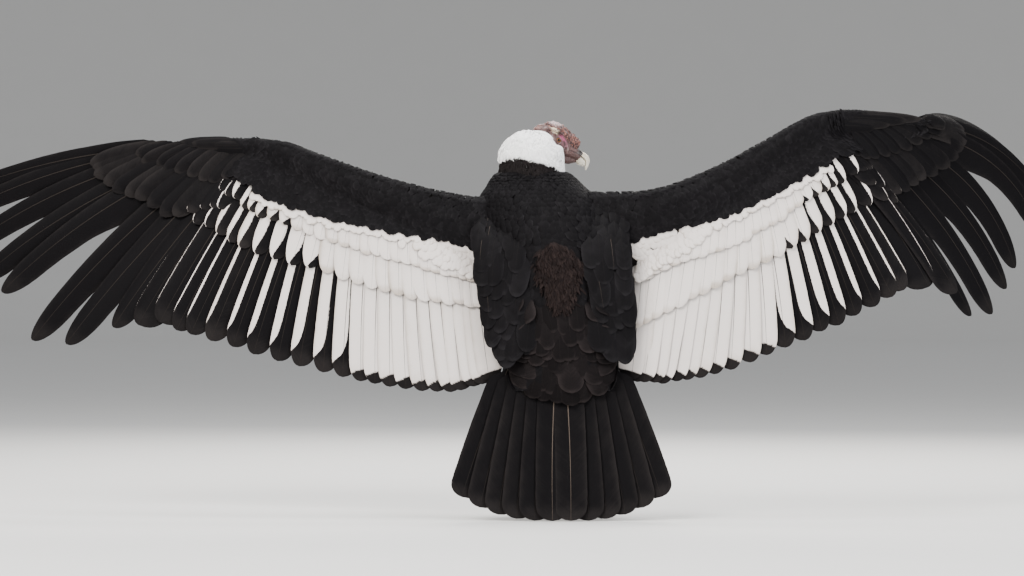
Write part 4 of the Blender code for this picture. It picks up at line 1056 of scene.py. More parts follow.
def covert_border(wing, black, white):
    """The ragged edge where the black small coverts end over the white ones, with white tips among them."""
    kinds = (
        # name, finish, seed, rows, feathers a row, step, first step, reach along the wing, lifts, mark
        ("border", black, 41, 10, 96, -0.013, 0.0, 23.0, (-0.001, 0.0030), None),
        ("fringe", white, 43, 9, 74, 0.018, 0.016, 19.8, (-0.0035, -0.0005),
         lambda s, u, k: np.ones(np.broadcast(s, u, k).shape)),
    )
    for name, finish, seed, rows, per_row, step, first, run, (start, end), mark in kinds:
        coat = Coat(f"{name}_{wing.side}", finish, seed + wing.number)
        row, place = scattered_rows([per_row] * rows, coat.draw, 0.35)
        place = -0.8 + place * run
        length = np.interp(place, wing.numbers, wing.lengths)
        size = coat.draw.uniform(0.026, 0.033, len(place))
        ends = look_up(BLACK_ENDS[wing.side], place) + 0.010 * np.sin(place * 4.1)
        ends = ends + coat.draw.normal(0, 0.007, len(place))
        ends = ends - np.clip(place - 20.5, 0, 3) * 0.03
        reach = ends + (first + step * row) / length
        if mark:
            kept = reach < np.interp(place, (0, 5, 8, 20), (0.15, 0.13, 0.0, 0.0)) + ends * (place > 7) + 0.06
        else:
            kept = reach > np.minimum(-0.08, ends - 0.10)
        place, reach, size, length = place[kept], reach[kept], size[kept], length[kept]
        count = len(place)
        root = wing.coat_at(place, reach - size / length, np.full(count, start))
        middle = wing.coat_at(place, reach - size / length / 2, np.full(count, (start + end) / 2 + 0.002))
        tip = wing.coat_at(place, reach, np.full(count, end))
        normal, outward, _ = wing.lie(place)
        uv = stacked(0.03 + 0.94 * (place + 0.8) / 24, np.clip(0.5 + reach, 0.02, 0.98))
        coat.lay(SMALL, root, middle, tip, normal, outward, size * coat.draw.uniform(0.70, 0.86, count), uv,
                 camber=0.10, roll=2.5, white=mark)
        coat.build()


# Torso
TORSO = curve(TORSO_SECTIONS, 257)


def torso_at(turn, z, lift=0.0):
    """Points on the body: turn is the angle from the middle of the back towards the bird's right."""
    _, x, y, wide, deep = (np.interp(z, TORSO[:, 0], column) for column in TORSO.T)
    return stacked(x + (wide + lift) * np.sin(turn), y - (deep + lift) * np.cos(turn), z)


def torso_normal(turn, z):
    step = 0.012
    around = torso_at(turn + 0.05, z) - torso_at(turn - 0.05, z)
    rise = torso_at(turn, np.minimum(z + step, TORSO_TOP)) - torso_at(turn, np.maximum(z - step, 0.290))
    return unit(np.cross(around, rise))


def torso_skin():
    turn = 2 * np.pi * np.arange(48) / 48
    return loft([torso_at(turn, z, -COAT) for z in np.linspace(TORSO_FOOT, TORSO_TOP, 50)])


# Length of the body's feathers by height
BODY_FEATHER = ((0.33, 0.45, 0.62, 0.68, 0.74, 0.80), (0.052, 0.050, 0.044, 0.035, 0.026, 0.017))


def rump_half(z):
    """Half the width of the brown downy patch in the middle of the back."""
    return 0.043 * np.clip((0.645 - z) / 0.04, 0, 1) ** 0.5 * np.clip((z - 0.495) / 0.10, 0, 1) ** 0.6


def on_back(turn, z):
    """The map's place of a point on the body."""
    return stacked(0.02 + 0.96 * (turn / (2 * np.pi) + 0.5), 0.02 + 0.96 * (z - 0.25) / 0.60)


def torso_feathers(black, brown):
    """Body feathers in staggered rows from the shoulders down to the tail, all pointing down."""
    back, breast = Coat("back_feathers", black, 51), Coat("breast_feathers", black, 53)
    downy = Coat("rump_down", brown, 52)
    zs, turns, number, height = [], [], 0, 0.820
    while height > 0.335:
        length = np.interp(height, *BODY_FEATHER)
        wide = np.interp(height, TORSO[:, 0], TORSO[:, 3])
        count = int(2 * math.pi * wide / (0.46 * length))
        places = (np.arange(count) + 0.5 * (number % 2) + back.draw.uniform(-0.22, 0.22, count)) / count
        turns.append((2 * places - 1) * np.pi)
        zs.append(height + back.draw.uniform(-0.08, 0.08, count) * length)
        height, number = height - 0.40 * length, number + 1
    z, turn = np.concatenate(zs), np.concatenate(turns)
    in_wing = (np.abs(np.abs(turn) - 1.45) < 0.42) & (z < 0.735) & (z > 0.60)
    size = np.interp(z, *BODY_FEATHER) * back.draw.uniform(0.90, 1.10, len(z))
    behind = np.cos(turn) > -0.1
    across = torso_at(turn, z)[:, 0] - np.interp(z, TORSO[:, 0], TORSO[:, 1])
    bare = behind & (np.abs(across - 0.006) < rump_half(z))
    bare = bare | (behind & (z < 0.52) & (np.abs(across) < 0.050) & (back.draw.uniform(0, 1, len(z)) < 0.7))
    thin = ~behind & (back.draw.uniform(0, 1, len(z)) < 0.6)
    # piece, its feathers, breadth and size as shares, and lift
    for piece, chosen, wide, bigger, lift in ((back, ~bare & ~in_wing & behind, 0.80, 1.0, 0.0),
                                              (breast, thin & ~in_wing, 0.80, 1.4, 0.0),
                                              (downy, bare, 0.52, 1.0, -0.003)):
        zz, tt, length = z[chosen], turn[chosen], size[chosen] * bigger
        low = np.maximum(zz - length, 0.300)
        fan = 0.02 * np.sin(tt) + piece.draw.normal(0, 0.010, len(tt))
        lift = lift + 0.009 * ramp(np.abs(tt), 0.15, 0.55) * ramp(zz, 0.655, 0.690) * (np.cos(tt) > -0.1)
        # The topmost roots are sunk, so that they don't stand out of the shoulders
        root = torso_at(tt, zz, lift - 0.004 - 0.016 * ramp(zz, 0.792, TORSO_TOP))
        middle = torso_at(tt + fan * 0.5, (zz + low) / 2, 0.0026 + lift)
        tip = torso_at(tt + fan, low, 0.0012 + lift)
        piece.lay(CONTOUR, root, middle, tip, torso_normal(tt, zz), stacked(np.cos(tt), np.sin(tt), 0.0),
                  length * wide, on_back(tt, zz), facing_tip=torso_normal(tt, low), camber=0.16, roll=5.0)
    strands = 1500
    draw = downy.draw
    zz = draw.uniform(0.500, 0.650, strands)
    tt = (draw.uniform(-1, 1, strands) * (rump_half(zz) + 0.006) + 0.006) / 0.135
    length = draw.uniform(0.014, 0.030, strands)
    root = torso_at(tt, zz)
    tip = torso_at(tt + draw.normal(0, 0.06, strands), zz - length, draw.uniform(0.002, 0.009, strands))
    normal = torso_normal(tt, zz)
    downy.lay(TUFT, root, (root + tip) / 2 + normal * 0.003, tip, normal, (1.0, 0, 0), 0.0055,
              on_back(tt, zz), roll=25.0)
    for piece in (back, breast, downy):
        piece.build()


def scapular_feathers(finish):
    """Rounded shoulder feathers in tiers that hang over the base of each wing."""
    coat = Coat("scapulars", finish, 61)
    draw = coat.draw
    tiers, per_tier = 4, 16
    for side, sign in (("left", -1), ("right", 1)):
        tips = curve(WINGS[side]["scapular_tips"])
        for tier in range(tiers):
            t = ((np.arange(per_tier) + 0.5 * (tier % 2)) / (per_tier - 0.5)) ** 1.5
            size = np.interp(t, (0, 0.15, 0.35, 0.75, 1), (0.028, 0.042, 0.066, 0.122, 0.116))
            size = size * draw.uniform(0.90, 1.10, per_tier)
            wide = np.interp(t, (0, 0.15, 0.4, 1), (0.024, 0.032, 0.046, 0.057))
            wide = wide * draw.uniform(0.92, 1.08, per_tier)
            inward = np.interp(t, (0, 0.35, 1), (0.0190, 0.0270, 0.0155)) * tier
            sunk = 0.019 * (1 - ramp(t, 0.0, 0.38)) + 0.0030 - 0.0020 * tier
            tip = along(tips, t) + stacked(-sign * inward, sunk, 0.010 * tier * t)
            tip = tip + draw.normal(0, (0.0034, 0.0008, 0.0050), tip.shape)
            # The roots lie deeper in than the tips
            way = stacked(-sign * 0.08 + draw.normal(0, 0.05, per_tier), 0.032 / size, 1.0)
            root = tip + way * size[:, None]
            facing = np.tile(unit((sign * 0.30 * (1 - tier / tiers), -1.0, 0.15)), (per_tier, 1))
            turn = np.arctan2(root[:, 0] + 0.006, 0.12)
            pale = (draw.uniform(0, 1, per_tier) > 0.94) * 0.5
            coat.lay(SCAPULAR, root, (root + tip) / 2 + facing * 0.004, tip, facing, (sign, 0, 0), wide,
                     on_back(turn, root[:, 2]), camber=0.11, roll=3.0, pale=pale)
    coat.build()


def tail_feathers(finish):
    coat = Coat("tail_feathers", finish, 71)
    place = 2 * np.arange(TAIL_FEATHERS) / (TAIL_FEATHERS - 1) - 1
    outer, sign = np.abs(place), np.sign(place)
    middle_pair = outer < 0.1
    root = np.array(TAIL_ROOT) + stacked(TAIL_ROOT_HALF * place, 0.010 * outer, 0.0)
    tip_y = TAIL_TIP_Y[0] + (TAIL_TIP_Y[1] - TAIL_TIP_Y[0]) * outer**1.3
    tip_z = TAIL_TIP_Z[0] + (TAIL_TIP_Z[1] - TAIL_TIP_Z[0]) * np.maximum(outer - 0.1, 0) ** 2.6
    tip = stacked(0.002 + TAIL_TIP_HALF * place, tip_y, tip_z)
    out = stacked(sign, 0.0, 0.0)
    way = unit(tip - root)
    across = unit(out - way * np.sum(out * way, axis=-1, keepdims=True))
    normal = np.cross(way, across) * sign[:, None]
    normal = normal * np.sign(-normal[:, 1:2])
    # Each feather lies over the next one outward, and the right one of the middle pair over the left
    tilt = np.where(middle_pair, 0.3, 1.0)[:, None] * math.radians(8)
    facing = unit(normal * np.cos(tilt) - across * np.sin(tilt))
    raised = np.where(middle_pair, np.where(place > 0, 0.0055, 0.0025), 0.0)[:, None] * normal
    middle = (root + tip) / 2 + normal * -0.006 + across * 0.004 + raised
    corners, size = strips(TAIL_FEATHERS, TAIL_FEATHERS)
    coat.lay(RECTRIX, root + raised, middle, tip + raised, facing, out, TAIL_BREADTH, corners,
             share=0.5 - 0.06 * outer, camber=0.03, roll=0.4, strip=size,
             pale=np.where(middle_pair, 0.9, 0.1), tone=coat.draw.uniform(0.3, 0.7, TAIL_FEATHERS))
    coat.build()


def tail_coverts(finish):
    """Broad rounded feathers over the roots of the tail, and softer ones beneath them."""
    coat = Coat("tail_coverts", finish, 81)
    # How many, height of the middle tip, half width across, depth, breadth of a feather
    upper = ((8, 0.266, 0.118, -0.120, 0.060), (9, 0.292, 0.116, -0.125, 0.060),
             (8, 0.318, 0.110, -0.130, 0.060), (11, 0.340, 0.112, -0.137, 0.046),
             (12, 0.368, 0.110, -0.142, 0.046), (11, 0.398, 0.106, -0.141, 0.046),
             (10, 0.430, 0.096, -0.140, 0.046))
    # How far the roots lie above the tips
    rise = 0.085
    for count, low, half, depth, breadth in upper:
        place = 2 * np.arange(count) / (count - 1) - 1 + coat.draw.normal(0, 0.03, count)
        turn = np.arcsin(np.clip(0.72 * place, -0.95, 0.95))
        root = torso_at(turn, low + rise, -0.002)
        tip = stacked(0.006 + half * place, depth + 0.012 * place**2, low + 0.050 * place**2)
        tip = tip + coat.draw.normal(0, 0.0035, tip.shape)
        facing = torso_normal(turn, low + rise)
        coat.lay(COVERT, root, (root + tip) / 2 + facing * 0.004, tip, facing,
                 stacked(np.sign(place + 0.01), 0.0, 0.0), coat.draw.uniform(0.90, 1.10, count) * breadth,
                 on_back(turn, low + rise), facing_tip=unit(stacked(0.5 * place, -1.0, 0.1)), camber=0.13,
                 roll=4.0)
    count = 11
    place = 2 * np.arange(count) / (count - 1) - 1
    facing = np.tile((0.0, 1.0, 0.0), (count, 1))
    for tier, low in enumerate((0.235, 0.260, 0.285, 0.310)):
        root = torso_at(np.pi + 0.9 * place, low + rise, -0.003)
        tip = stacked(0.006 - 0.110 * place, -0.090, low + 0.012 * place**2)
        uv = stacked(0.02 + 0.96 * ((place + 1) / 2), 0.80 + 0.04 * tier)
        coat.lay(COVERT, root, (root + tip) / 2 + facing * 0.004, tip, facing,
                 stacked(np.sign(-place + 0.01), 0.0, 0.0), 0.046, uv, camber=0.15, roll=5.0)
    coat.build()


# Legs
def leg_path(path, sign):
    return [(LEG_MIDDLE + sign * x, y, z) for x, y, z in path]


def thigh_feathers(finish):
    coat = Coat("thigh_feathers", finish, 91)
    counts = [17 - row // 3 for row in range(20)]
    for sign in (-1, 1):
        path, radii = curve(leg_path(THIGH_PATH, sign)), curve([[r] for r in THIGH_RADII])
        row, place = scattered_rows(counts, coat.draw, 0.3)
        t = 0.02 + 0.90 * row / (len(counts) - 1)
        turn = 2 * np.pi * place[:, None]

        def at(t, lift):
            """Points on the thigh, and the ways that they face and that lies round it."""
            way = heading(path, t)
            across = unit(np.cross(way, (0.0, 1.0, 0.0)))
            radial = across * np.cos(turn) + np.cross(across, way) * np.sin(turn)
            return along(path, t) + radial * (along(radii, t) + lift), radial, np.cross(way, radial)

        length = np.interp(t, (0, 0.5, 1.0), (0.070, 0.060, 0.026))
        reach = length / 0.36
        root, facing, out = at(t, -0.004)
        middle, _, _ = at(np.minimum(t + reach / 2, 1), 0.001)
        tip, facing_tip, _ = at(np.minimum(t + reach, 1), 0.0015)
        tip[:, 2] -= np.maximum(t + reach - 1, 0) * 0.20
        uv = stacked((0.02 if sign < 0 else 0.52) + 0.46 * place, 0.02 + 0.96 * t)
        coat.lay(CONTOUR, root, middle, tip, facing, out, length * 0.55, uv, facing_tip=facing_tip,
                 camber=0.14, roll=6.0)
    coat.build()


# Lowest height of the feet's undersides
SOLE = 0.0004


def toe_ways(angle, sign):
    """A toe's way ahead, and the way across it."""
    turn = math.radians(angle) * sign
    ahead = np.array((math.sin(turn), math.cos(turn), 0.0))
    return ahead, np.array((ahead[1], -ahead[0], 0.0))


def foot_body(sign):
    """The bare shank and toes, with broad scutes down the front and along each toe."""
    path = leg_path(TARSUS_PATH, sign)
    rings = []
    for t in np.arange(61) / 60:
        centre = smooth(path, t)
        across = np.array((1.0, 0.0, 0.0))
        front = np.cross(heading_at(path, t), across) * -1
        radius = radius_at(TARSUS_RADII, t)
        ring = oval(centre, across, front, radius, radius, 28)
        out = unit(ring - centre)
        ledge = 0.5 - t * 13 % 1.0
        rings.append(ring + out * (np.clip(out @ front, 0, 1) * 0.0011 * ledge)[:, None])
    bodies = [loft(rings)]
    ankle = np.array(path[-1])
    for angle, length, radius, _ in TOES:
        ahead, across = toe_ways(angle, sign)
        rings = []
        steps = int(length / 0.0011)
        joints = 3 if length > 0.05 else 1
        for t in np.arange(steps + 1) / steps:
            pad = 1 + 0.09 * math.cos(2 * math.pi * joints * t)
            size = radius * (1 - (1 - TOE_TAPER) * t) * pad
            height = size * 0.86 + 0.010 * (1 - t) ** 2
            centre = ankle * (1, 1, 0) + ahead * length * t + np.array((0, 0, height))
            ring = oval(centre, across, (0, 0, 1), size, size * 0.96, 20)
            lift = np.clip((ring[:, 2] - centre[2]) / size, 0, 1)
            ring[:, 2] += lift * 0.0010 * (0.5 - t * length / 0.0055 % 1.0)
            ring[:, 2] = np.maximum(ring[:, 2], SOLE)
            rings.append(ring)
        bodies.append(loft(rings))
    return bodies


def claw_body(ankle, ahead, across, length, radius, claw_length):
    """Points, faces and the share of the length run, for one curved claw."""
    size = radius * TOE_TAPER
    shares = np.arange(19) / 18
    rings = []
    for t in shares:
        centre = ankle + ahead * (length - 0.003 + (claw_length + 0.003) * t)
        centre = centre + np.array((0, 0, size * (1.25 - 0.95 * t**2)))
        half = size * 0.70 * (1 - 0.90 * t**1.3)
        ring = oval(centre, across, (0, 0, 1), half * 0.78, half, 16)
        ring[:, 2] = np.maximum(ring[:, 2], SOLE)
        rings.append(ring)
    return (*loft(rings), ring_values(shares, 16))


def make_feet(finish, claw_finish):
    for side, sign in (("left", -1), ("right", 1)):
        foot = remeshed(f"foot_skin_{side}", foot_body(sign), FOOT_VOXEL, finish, 1)
        points = mesh_points(foot)
        points[:, 2] = np.maximum(points[:, 2], 0.0)
        set_points(foot, points)
        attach(foot, "root")
        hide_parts(f"foot_{side}")
        ankle = np.array(leg_path(TARSUS_PATH, sign)[-1]) * (1, 1, 0)
        for number, (angle, length, radius, claw_length) in enumerate(TOES):
            points, quads, shares = claw_body(ankle, *toe_ways(angle, sign), length, radius, claw_length)
            claw = quads_mesh(f"claw_horn_{side}_{number + 1}", points, quads, claw_finish, {"along": shares})
            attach(claw, "root")
            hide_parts(f"claw_{side}_{number + 1}")


# Head
def head_up(turn):
    """The way up at a section that is turned forward by so many degrees."""
    return CROWN * math.cos(math.radians(turn)) + AHEAD * math.sin(math.radians(turn))


def head_ring(forward, height, half_wide, half_high, count):
    return oval(in_head(forward, 0, height), RIGHT, head_up(0), half_wide, half_high, count)


# The wattle under the bill and throat: forward of the eye, top, foot, half width
WATTLE = metres(((70.5, 3, -11.2, 5), (65, 2, -18, 6.6), (59.5, -1, -24.5, 7.2), (50, -6, -30, 7.4),
                 (38, -9, -34.5, 7.2), (22, -12, -38.5, 6.8), (6, -14, -41, 6.6), (-10, -16, -40, 6.4),
                 (-22, -16, -33, 5.2), (-29, -14, -24, 3.6)))
# Folds of loose skin: radius, then places in the head's axes in millimetres
FOLDS = (
    (0.0038, ((-10, 23.8, 14), (-26, 24.5, 12), (-40, 22, 2), (-50, 15.5, -10))),
    (0.0034, ((30, 17.2, -11), (12, 22.8, -16), (-10, 25, -20), (-30, 22.5, -22))),
    (0.0026, ((20, 19.5, 1), (24, 19, -8), (28, 16.5, -17), (30, 12, -25))),
    (0.0028, ((6, 23.5, -8), (10, 22.5, -16), (14, 18, -24), (16, 10, -32))),
    (0.0030, ((-14, 25, -4), (-12, 25, -14), (-6, 21, -24), (-2, 12, -34))),
    (0.0026, ((6, 19, 17), (-8, 20, 19), (-22, 20, 17), (-36, 18, 10))),
)
CERE_PATH = metres(((51, 8, 12.5), (58, 9.6, 14), (66.5, 8.2, 13)))
CERE_RADII = (0.0030, 0.0048, 0.0036)


def head_bodies():
    """Skull, neck, the loose skin of the cheeks and throat, and the rolled lids, to become one skin."""
    skull = [head_ring(*smooth(SKULL_SECTIONS, t), 40) for t in np.arange(49) / 48]
    wattle = [head_ring(forward, (top + foot) / 2, half, (top - foot) / 2, 16)
              for forward, top, foot, half in WATTLE]
    bodies = [loft(skull), loft(tube_rings(NECK_PATH, NECK_RADII, 36, 40)), loft(wattle)]
    for sign in (-1, 1):
        for radius, places in FOLDS:
            path = [in_head(forward, sign * right, up) for forward, right, up in metres(places)]
            bodies.append(loft(tube_rings(path, (radius * 0.3, radius, radius, radius * 0.3), 12, 24)))
        bodies.append(lid_body(sign))
        cere = [in_head(forward, sign * right, up) for forward, right, up in CERE_PATH]
        bodies.append(loft(tube_rings(cere, CERE_RADII, 12, 16)))
    return bodies


def lid_body(sign):
    """A rolled rim about the eye, heavier above."""
    around, ring = 48, 12
    b = 2 * np.pi * np.arange(ring)[:, None] / ring
    points = []
    for a in 2 * np.pi * np.arange(around) / around:
        side = sign * (EYE_SPREAD + 0.0070 - 0.0014 * math.cos(a) ** 2)
        middle = in_head(0.0084 * math.cos(a), side, 0.0062 * math.sin(a))
        out = AHEAD * math.cos(a) + CROWN * math.sin(a)
        heavy = 0.0027 + 0.0007 * max(math.sin(a), 0)
        points.append(middle + (out * np.cos(b) + RIGHT * sign * np.sin(b)) * heavy)
    return np.concatenate(points), ring_quads(around, ring, closed=True)


# Grain of the skins that are made in one piece
BODY_VOXEL = 0.006
HEAD_VOXEL = 0.00095
FOOT_VOXEL = 0.00135
SKIN_BASE = (0.095, 0.046, 0.042)
# Painted shade for the head's creases and for the line under the comb
SKIN_PAINTED_SHADE = (0.030, 0.013, 0.013)
SKIN_MAGENTA = (0.38, 0.060, 0.150)
SKIN_CREAM = (0.72, 0.60, 0.43)
SKIN_CERE = (0.040, 0.036, 0.036)
SKIN_NECK = (0.30, 0.140, 0.110)


def blob(places, centre, size):
    """1 at a centre, falling smoothly to 0 at the size away, for places in the head's axes."""
    away = np.linalg.norm((places - np.array(centre)) / np.array(size), axis=1)
    return 1 - ramp(away, 0.35, 1.0)


def wrinkle(head):
    """Creases and pores worked into the head's skin, with its colours by place, and painted shade in the
    creases, under the comb, in the openings and where the lids meet the eyes.
    """
    points, normals = mesh_points(head), mesh_rows(head, "normal")
    forward, right, up = from_head(points).T
    mirrored = np.stack([forward, np.abs(right), up], axis=1)
    coarse = fractal(points, 55.0)
    fine = fractal(points + 3.0, 190.0, 4)
    # Creases hang down the cheek and ring the neck
    hang = points[:, 0] * 620 + 4.8 * coarse
    cheek = (1 - ramp(up, 0.004, 0.014)) * ramp(forward, -0.055, -0.035) * (1 - ramp(forward, 0.032, 0.042))
    crease = ramp(np.sin(hang) * 0.5 + 0.5, 0.62, 1.0) * cheek
    rings = ramp(np.sin(points[:, 2] * 700 + coarse * 3.0) * 0.5 + 0.5, 0.62, 1.0)
    rings = rings * ramp(-forward, 0.030, 0.050)
    brow = ramp(np.sin(up * 900 + forward * 160 + coarse * 3) * 0.5 + 0.5, 0.6, 1.0)
    brow = brow * blob(mirrored, (0.004, 0.021, 0.014), (0.022, 0.02, 0.010))
    eye_near = blob(mirrored, (0.0, 0.022, 0.0), (0.015, 0.016, 0.013))
    folds = np.clip(crease + rings + 0.6 * brow, 0, 1) * (1 - eye_near)
    nostril = blob(mirrored, (0.0625, 0.0135, 0.0140), (0.0044, 0.006, 0.0022))
    ear = blob(mirrored, (-0.030, 0.0262, -0.004), (0.0060, 0.009, 0.0052))
    lips = np.interp(forward, (0.036, 0.0527, 0.0718), (-0.0010, 0.0050, 0.0070))
    gape = np.exp(-((up - lips) / 0.0011) ** 2) * ramp(forward, 0.036, 0.042)
    gape = gape * ramp(np.abs(right), 0.004, 0.008)
    rise = 0.0006 * fine + 0.0008 * coarse
    rise = rise - 0.0013 * folds - 0.0034 * nostril - 0.0036 * ear - 0.0014 * gape
    set_points(head, points + normals * rise[:, None])
    colour = np.tile(np.array(SKIN_BASE), (len(points), 1))

    def blend(target, share):
        colour[:] = colour + (np.array(target) - colour) * np.clip(share, 0, 1)[:, None]

    blend(SKIN_NECK, ramp(-forward, 0.045, 0.070))
    blend((0.085, 0.040, 0.036), ramp(coarse, 0.00, 0.40) * 0.8)
    pale_strips = ramp(np.sin(hang * 0.55 + 1.0), 0.5, 0.95) * cheek * ramp(fine, -0.5, 0.2)
    blend((0.42, 0.31, 0.29), pale_strips * 0.80)
    blend((0.040, 0.019, 0.018), ramp(-up, 0.006, 0.020) * 0.75)
    blend((0.20, 0.065, 0.095), blob(mirrored, (0.018, 0.022, 0.004), (0.020, 0.020, 0.012)) * 0.8)
    blend(SKIN_MAGENTA, blob(mirrored, (0.006, 0.024, 0.0118), (0.0180, 0.020, 0.0074)) * 1.3)
    cream = blob(mirrored, (-0.022, 0.020, 0.013), (0.018, 0.016, 0.0095))
    blend(SKIN_CREAM, cream * ramp(fine, -0.6, -0.2) * 1.4)
    # Painted shade in the creases and folds
    blend(SKIN_PAINTED_SHADE, folds * 0.85)
    blend((0.035, 0.018, 0.018), blob(mirrored, (-0.008, 0.022, 0.0135), (0.013, 0.013, 0.0045)) * 0.9)
    # Painted shade along the line under the comb
    under_comb = np.interp(forward, (-0.045, -0.020, 0.003, 0.035, 0.052),
                           (0.0150, 0.0225, 0.0190, 0.0095, 0.0150))
    blend(SKIN_PAINTED_SHADE, np.exp(-((up - under_comb) / 0.0022) ** 2) * ramp(np.abs(right), 0.004, 0.009) * 0.9)
    blend(SKIN_CERE, ramp(forward, 0.051, 0.056) * ramp(up - lips, 0.000, 0.003))
    blend((0.060, 0.028, 0.024), ramp(forward, 0.044, 0.058) * (1 - ramp(up - lips, -0.004, 0.000)))
    # Painted shade in the nostrils, the ears' openings and the gape
    blend((0.012, 0.010, 0.010), np.clip(nostril * 1.4 + ear * 1.3 + gape, 0, 1))
    # Painted shade where the lids meet the eye
    from_eye = np.linalg.norm(mirrored - np.array((0, EYE_SPREAD, 0)), axis=1)
    blend((0.030, 0.014, 0.014), eye_near * ramp(EYE_RADIUS + 0.0016 - from_eye, -0.0012, 0.0006))
    paint(head, "painted", np.clip(colour * (1 + 0.16 * fine[:, None]), 0, 1))


def make_head(finish):
    head = remeshed("head_and_neck", head_bodies(), HEAD_VOXEL, finish, 2)
    points = mesh_points(head)
    # The sockets: nothing of the skin stays inside the eyes but under the lids' rims
    for sign in (-1, 1):
        centre = in_head(0, sign * EYE_SPREAD, 0)
        away = points - centre
        distance = np.linalg.norm(away, axis=1)
        forward, right, up = from_head(points).T
        sunk = (np.hypot(forward / 0.0066, up / 0.0046) < 1) & (right * sign > EYE_SPREAD * 0.6)
        sunk = sunk & (distance > EYE_RADIUS - 0.0010)
        points[sunk] = centre + away[sunk] / distance[sunk, None] * (EYE_RADIUS - 0.0012)
    set_points(head, points)
    wrinkle(head)
    return head


def make_comb(finish):
    """The upright comb: lobed along its crest, knobbly on its sides."""
    rings = []
    for t in np.arange(91) / 90:
        forward, foot, crest, half = smooth(COMB_SECTIONS, t)
        lobe = 0.0010 * math.sin(forward * 520) + 0.0006 * math.sin(forward * 1130 + 1)
        rings.append(head_ring(forward, (foot + crest) / 2, half, (crest - foot) / 2 + lobe, 40))
    points, quads = loft(rings)
    # Its foot spreads over the forehead
    forward, right, up = from_head(points).T
    spread = 1 + 0.75 * (1 - ramp(up, 0.008, 0.026)) * ramp(forward, -0.045, -0.02)
    points = points + RIGHT * (right * (spread - 1))[:, None]
    forward, right, up = from_head(points).T
    cells = np.array([noise.cell(Vector(p) * 260) for p in points])
    knobs = 0.0022 * fractal(points, 130.0, 4) + 0.0006 * cells
    out = unit(stacked(0.0, right, up - 0.018)) @ np.array((AHEAD, RIGHT, CROWN))
    crest = ramp(up, 0.020, 0.038) * (1 - 0.90 * ramp(forward, -0.026, 0.004))
    crest = crest + 0.7 * ramp(-forward, 0.010, 0.035) - 0.9 * (1 - ramp(up, 0.014, 0.026))
    comb = quads_mesh("comb_flesh", points + out * knobs[:, None], quads, finish, {"crest": crest})
    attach(comb, "root")
    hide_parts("comb")


def bill_body(sections, way):
    """Points, faces and the share of the length run, for one half of the bill."""
    count = 36
    turn = 2 * np.pi * (np.arange(count) + 0.5) / count
    # Full on the outer side, and almost flat where the two halves meet
    height = np.cos(turn)
    height = np.where(height > 0, height, height * 0.12) + 0.12
    shares = np.arange(61) / 60
    rings = []
    for t in shares:
        forward, edge, depth, wide, tilt = smooth(sections, t)
        rings.append(in_head(forward, 0, edge) + RIGHT * (wide * np.sin(turn))[:, None]
                     + head_up(tilt) * way * (depth * height)[:, None])
    return (*loft(rings), ring_values(shares, count))


def make_bill(finish):
    for name, sections, way in (("bill_upper", UPPER_BILL, 1), ("bill_lower", LOWER_BILL, -1)):
        points, quads, shares = bill_body(sections, way)
        bill = quads_mesh(f"{name}_horn", points, quads, finish, {"along": ramp(shares, 0.0, 0.6)})
        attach(bill, "root")
        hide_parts(name)


def make_eyes(finish):
    for side, sign in (("left", -1), ("right", 1)):
        rings, spread = [], []
        for a in math.pi * (0.01 + 0.98 * np.arange(33) / 32):
            # The cornea stands a little proud of the ball
            bulge = 1 + 0.05 * math.exp(-(a / 0.5) ** 2)
            centre = in_head(0, sign * (EYE_SPREAD + EYE_RADIUS * math.cos(a) * bulge), 0)
            half = EYE_RADIUS * math.sin(a)
            rings.append(oval(centre, AHEAD, CROWN, half, half, 40))
            spread.append(a / (math.pi / 2))
        points, quads = loft(rings)
        quads = quads if sign < 0 else quads[:, ::-1]
        ring = np.repeat([0.0] + spread + [2.0], 40)
        eye = quads_mesh(f"eyeball_{side}", points, quads, finish, {"ring": ring})
        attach(eye, "root")
        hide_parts(f"eye_{side}")


# Ruff
def over_face(tips):
    """Which tufts would cover the face: those inside the head, or between the camera and the eye."""
    forward, right, up = from_head(tips).T
    stops = np.array(SKULL_SECTIONS)
    half = np.interp(forward, stops[:, 0], stops[:, 2]) + 0.001
    inside = (np.hypot(right, up + 0.004) < half) & (forward > -0.062) & (forward < 0.06)
    eye = in_head(0, EYE_SPREAD, 0)
    close = np.hypot(tips[:, 0] - eye[0] - 0.004, tips[:, 2] - eye[2]) < 0.0150
    ahead = (forward > 0.010) & (np.abs(right) < 0.05) & (up > -0.035)
    return inside | close | ahead


def ruff_edge(turn, draw):
    """Polar angle from the ruff's crown where the white ends, by the angle from the back to the right."""
    side = np.interp(turn, (-np.pi, -1.4, -0.6, 0.0, 0.6, 1.1, 1.6, np.pi),
                     (100, 88, 84, 86, 97, 112, 114, 100))
    wave = 0.030 * np.sin(turn * 5.0 + 0.8) + 0.018 * np.sin(turn * 11.0 + 2.1)
    return np.radians(side) + wave + draw.normal(0, 0.035, turn.shape)


def dome(polar, turn, radius):
    """Points over the ruff, and the way they face: polar from its crown, turn from the back to the right."""
    flat = np.where(polar > 1.7, 1 + 0.35 * (polar - 1.7), 1.0) * np.sin(polar)
    point = stacked(np.sin(turn) * flat, -np.cos(turn) * flat, np.cos(polar))
    return RUFF_CENTRE + point * np.reshape(radius, (-1, 1)) * RUFF_RADIUS, unit(point)


# Tufts of the ruff: piece, seed, how many, polar angles, whether white, share drawn to the lower edge
RUFF_LAYERS = (
    ("ruff_down_low", 101, 5200, 0.90, 2.00, True, 0.40),
    ("ruff_down_middle", 103, 4200, 0.45, 1.30, True, 0.0),
    ("ruff_down_top", 104, 3300, 0.02, 0.90, True, 0.0),
    ("collar_down", 102, 4200, 1.15, 2.25, False, 0.0),
)


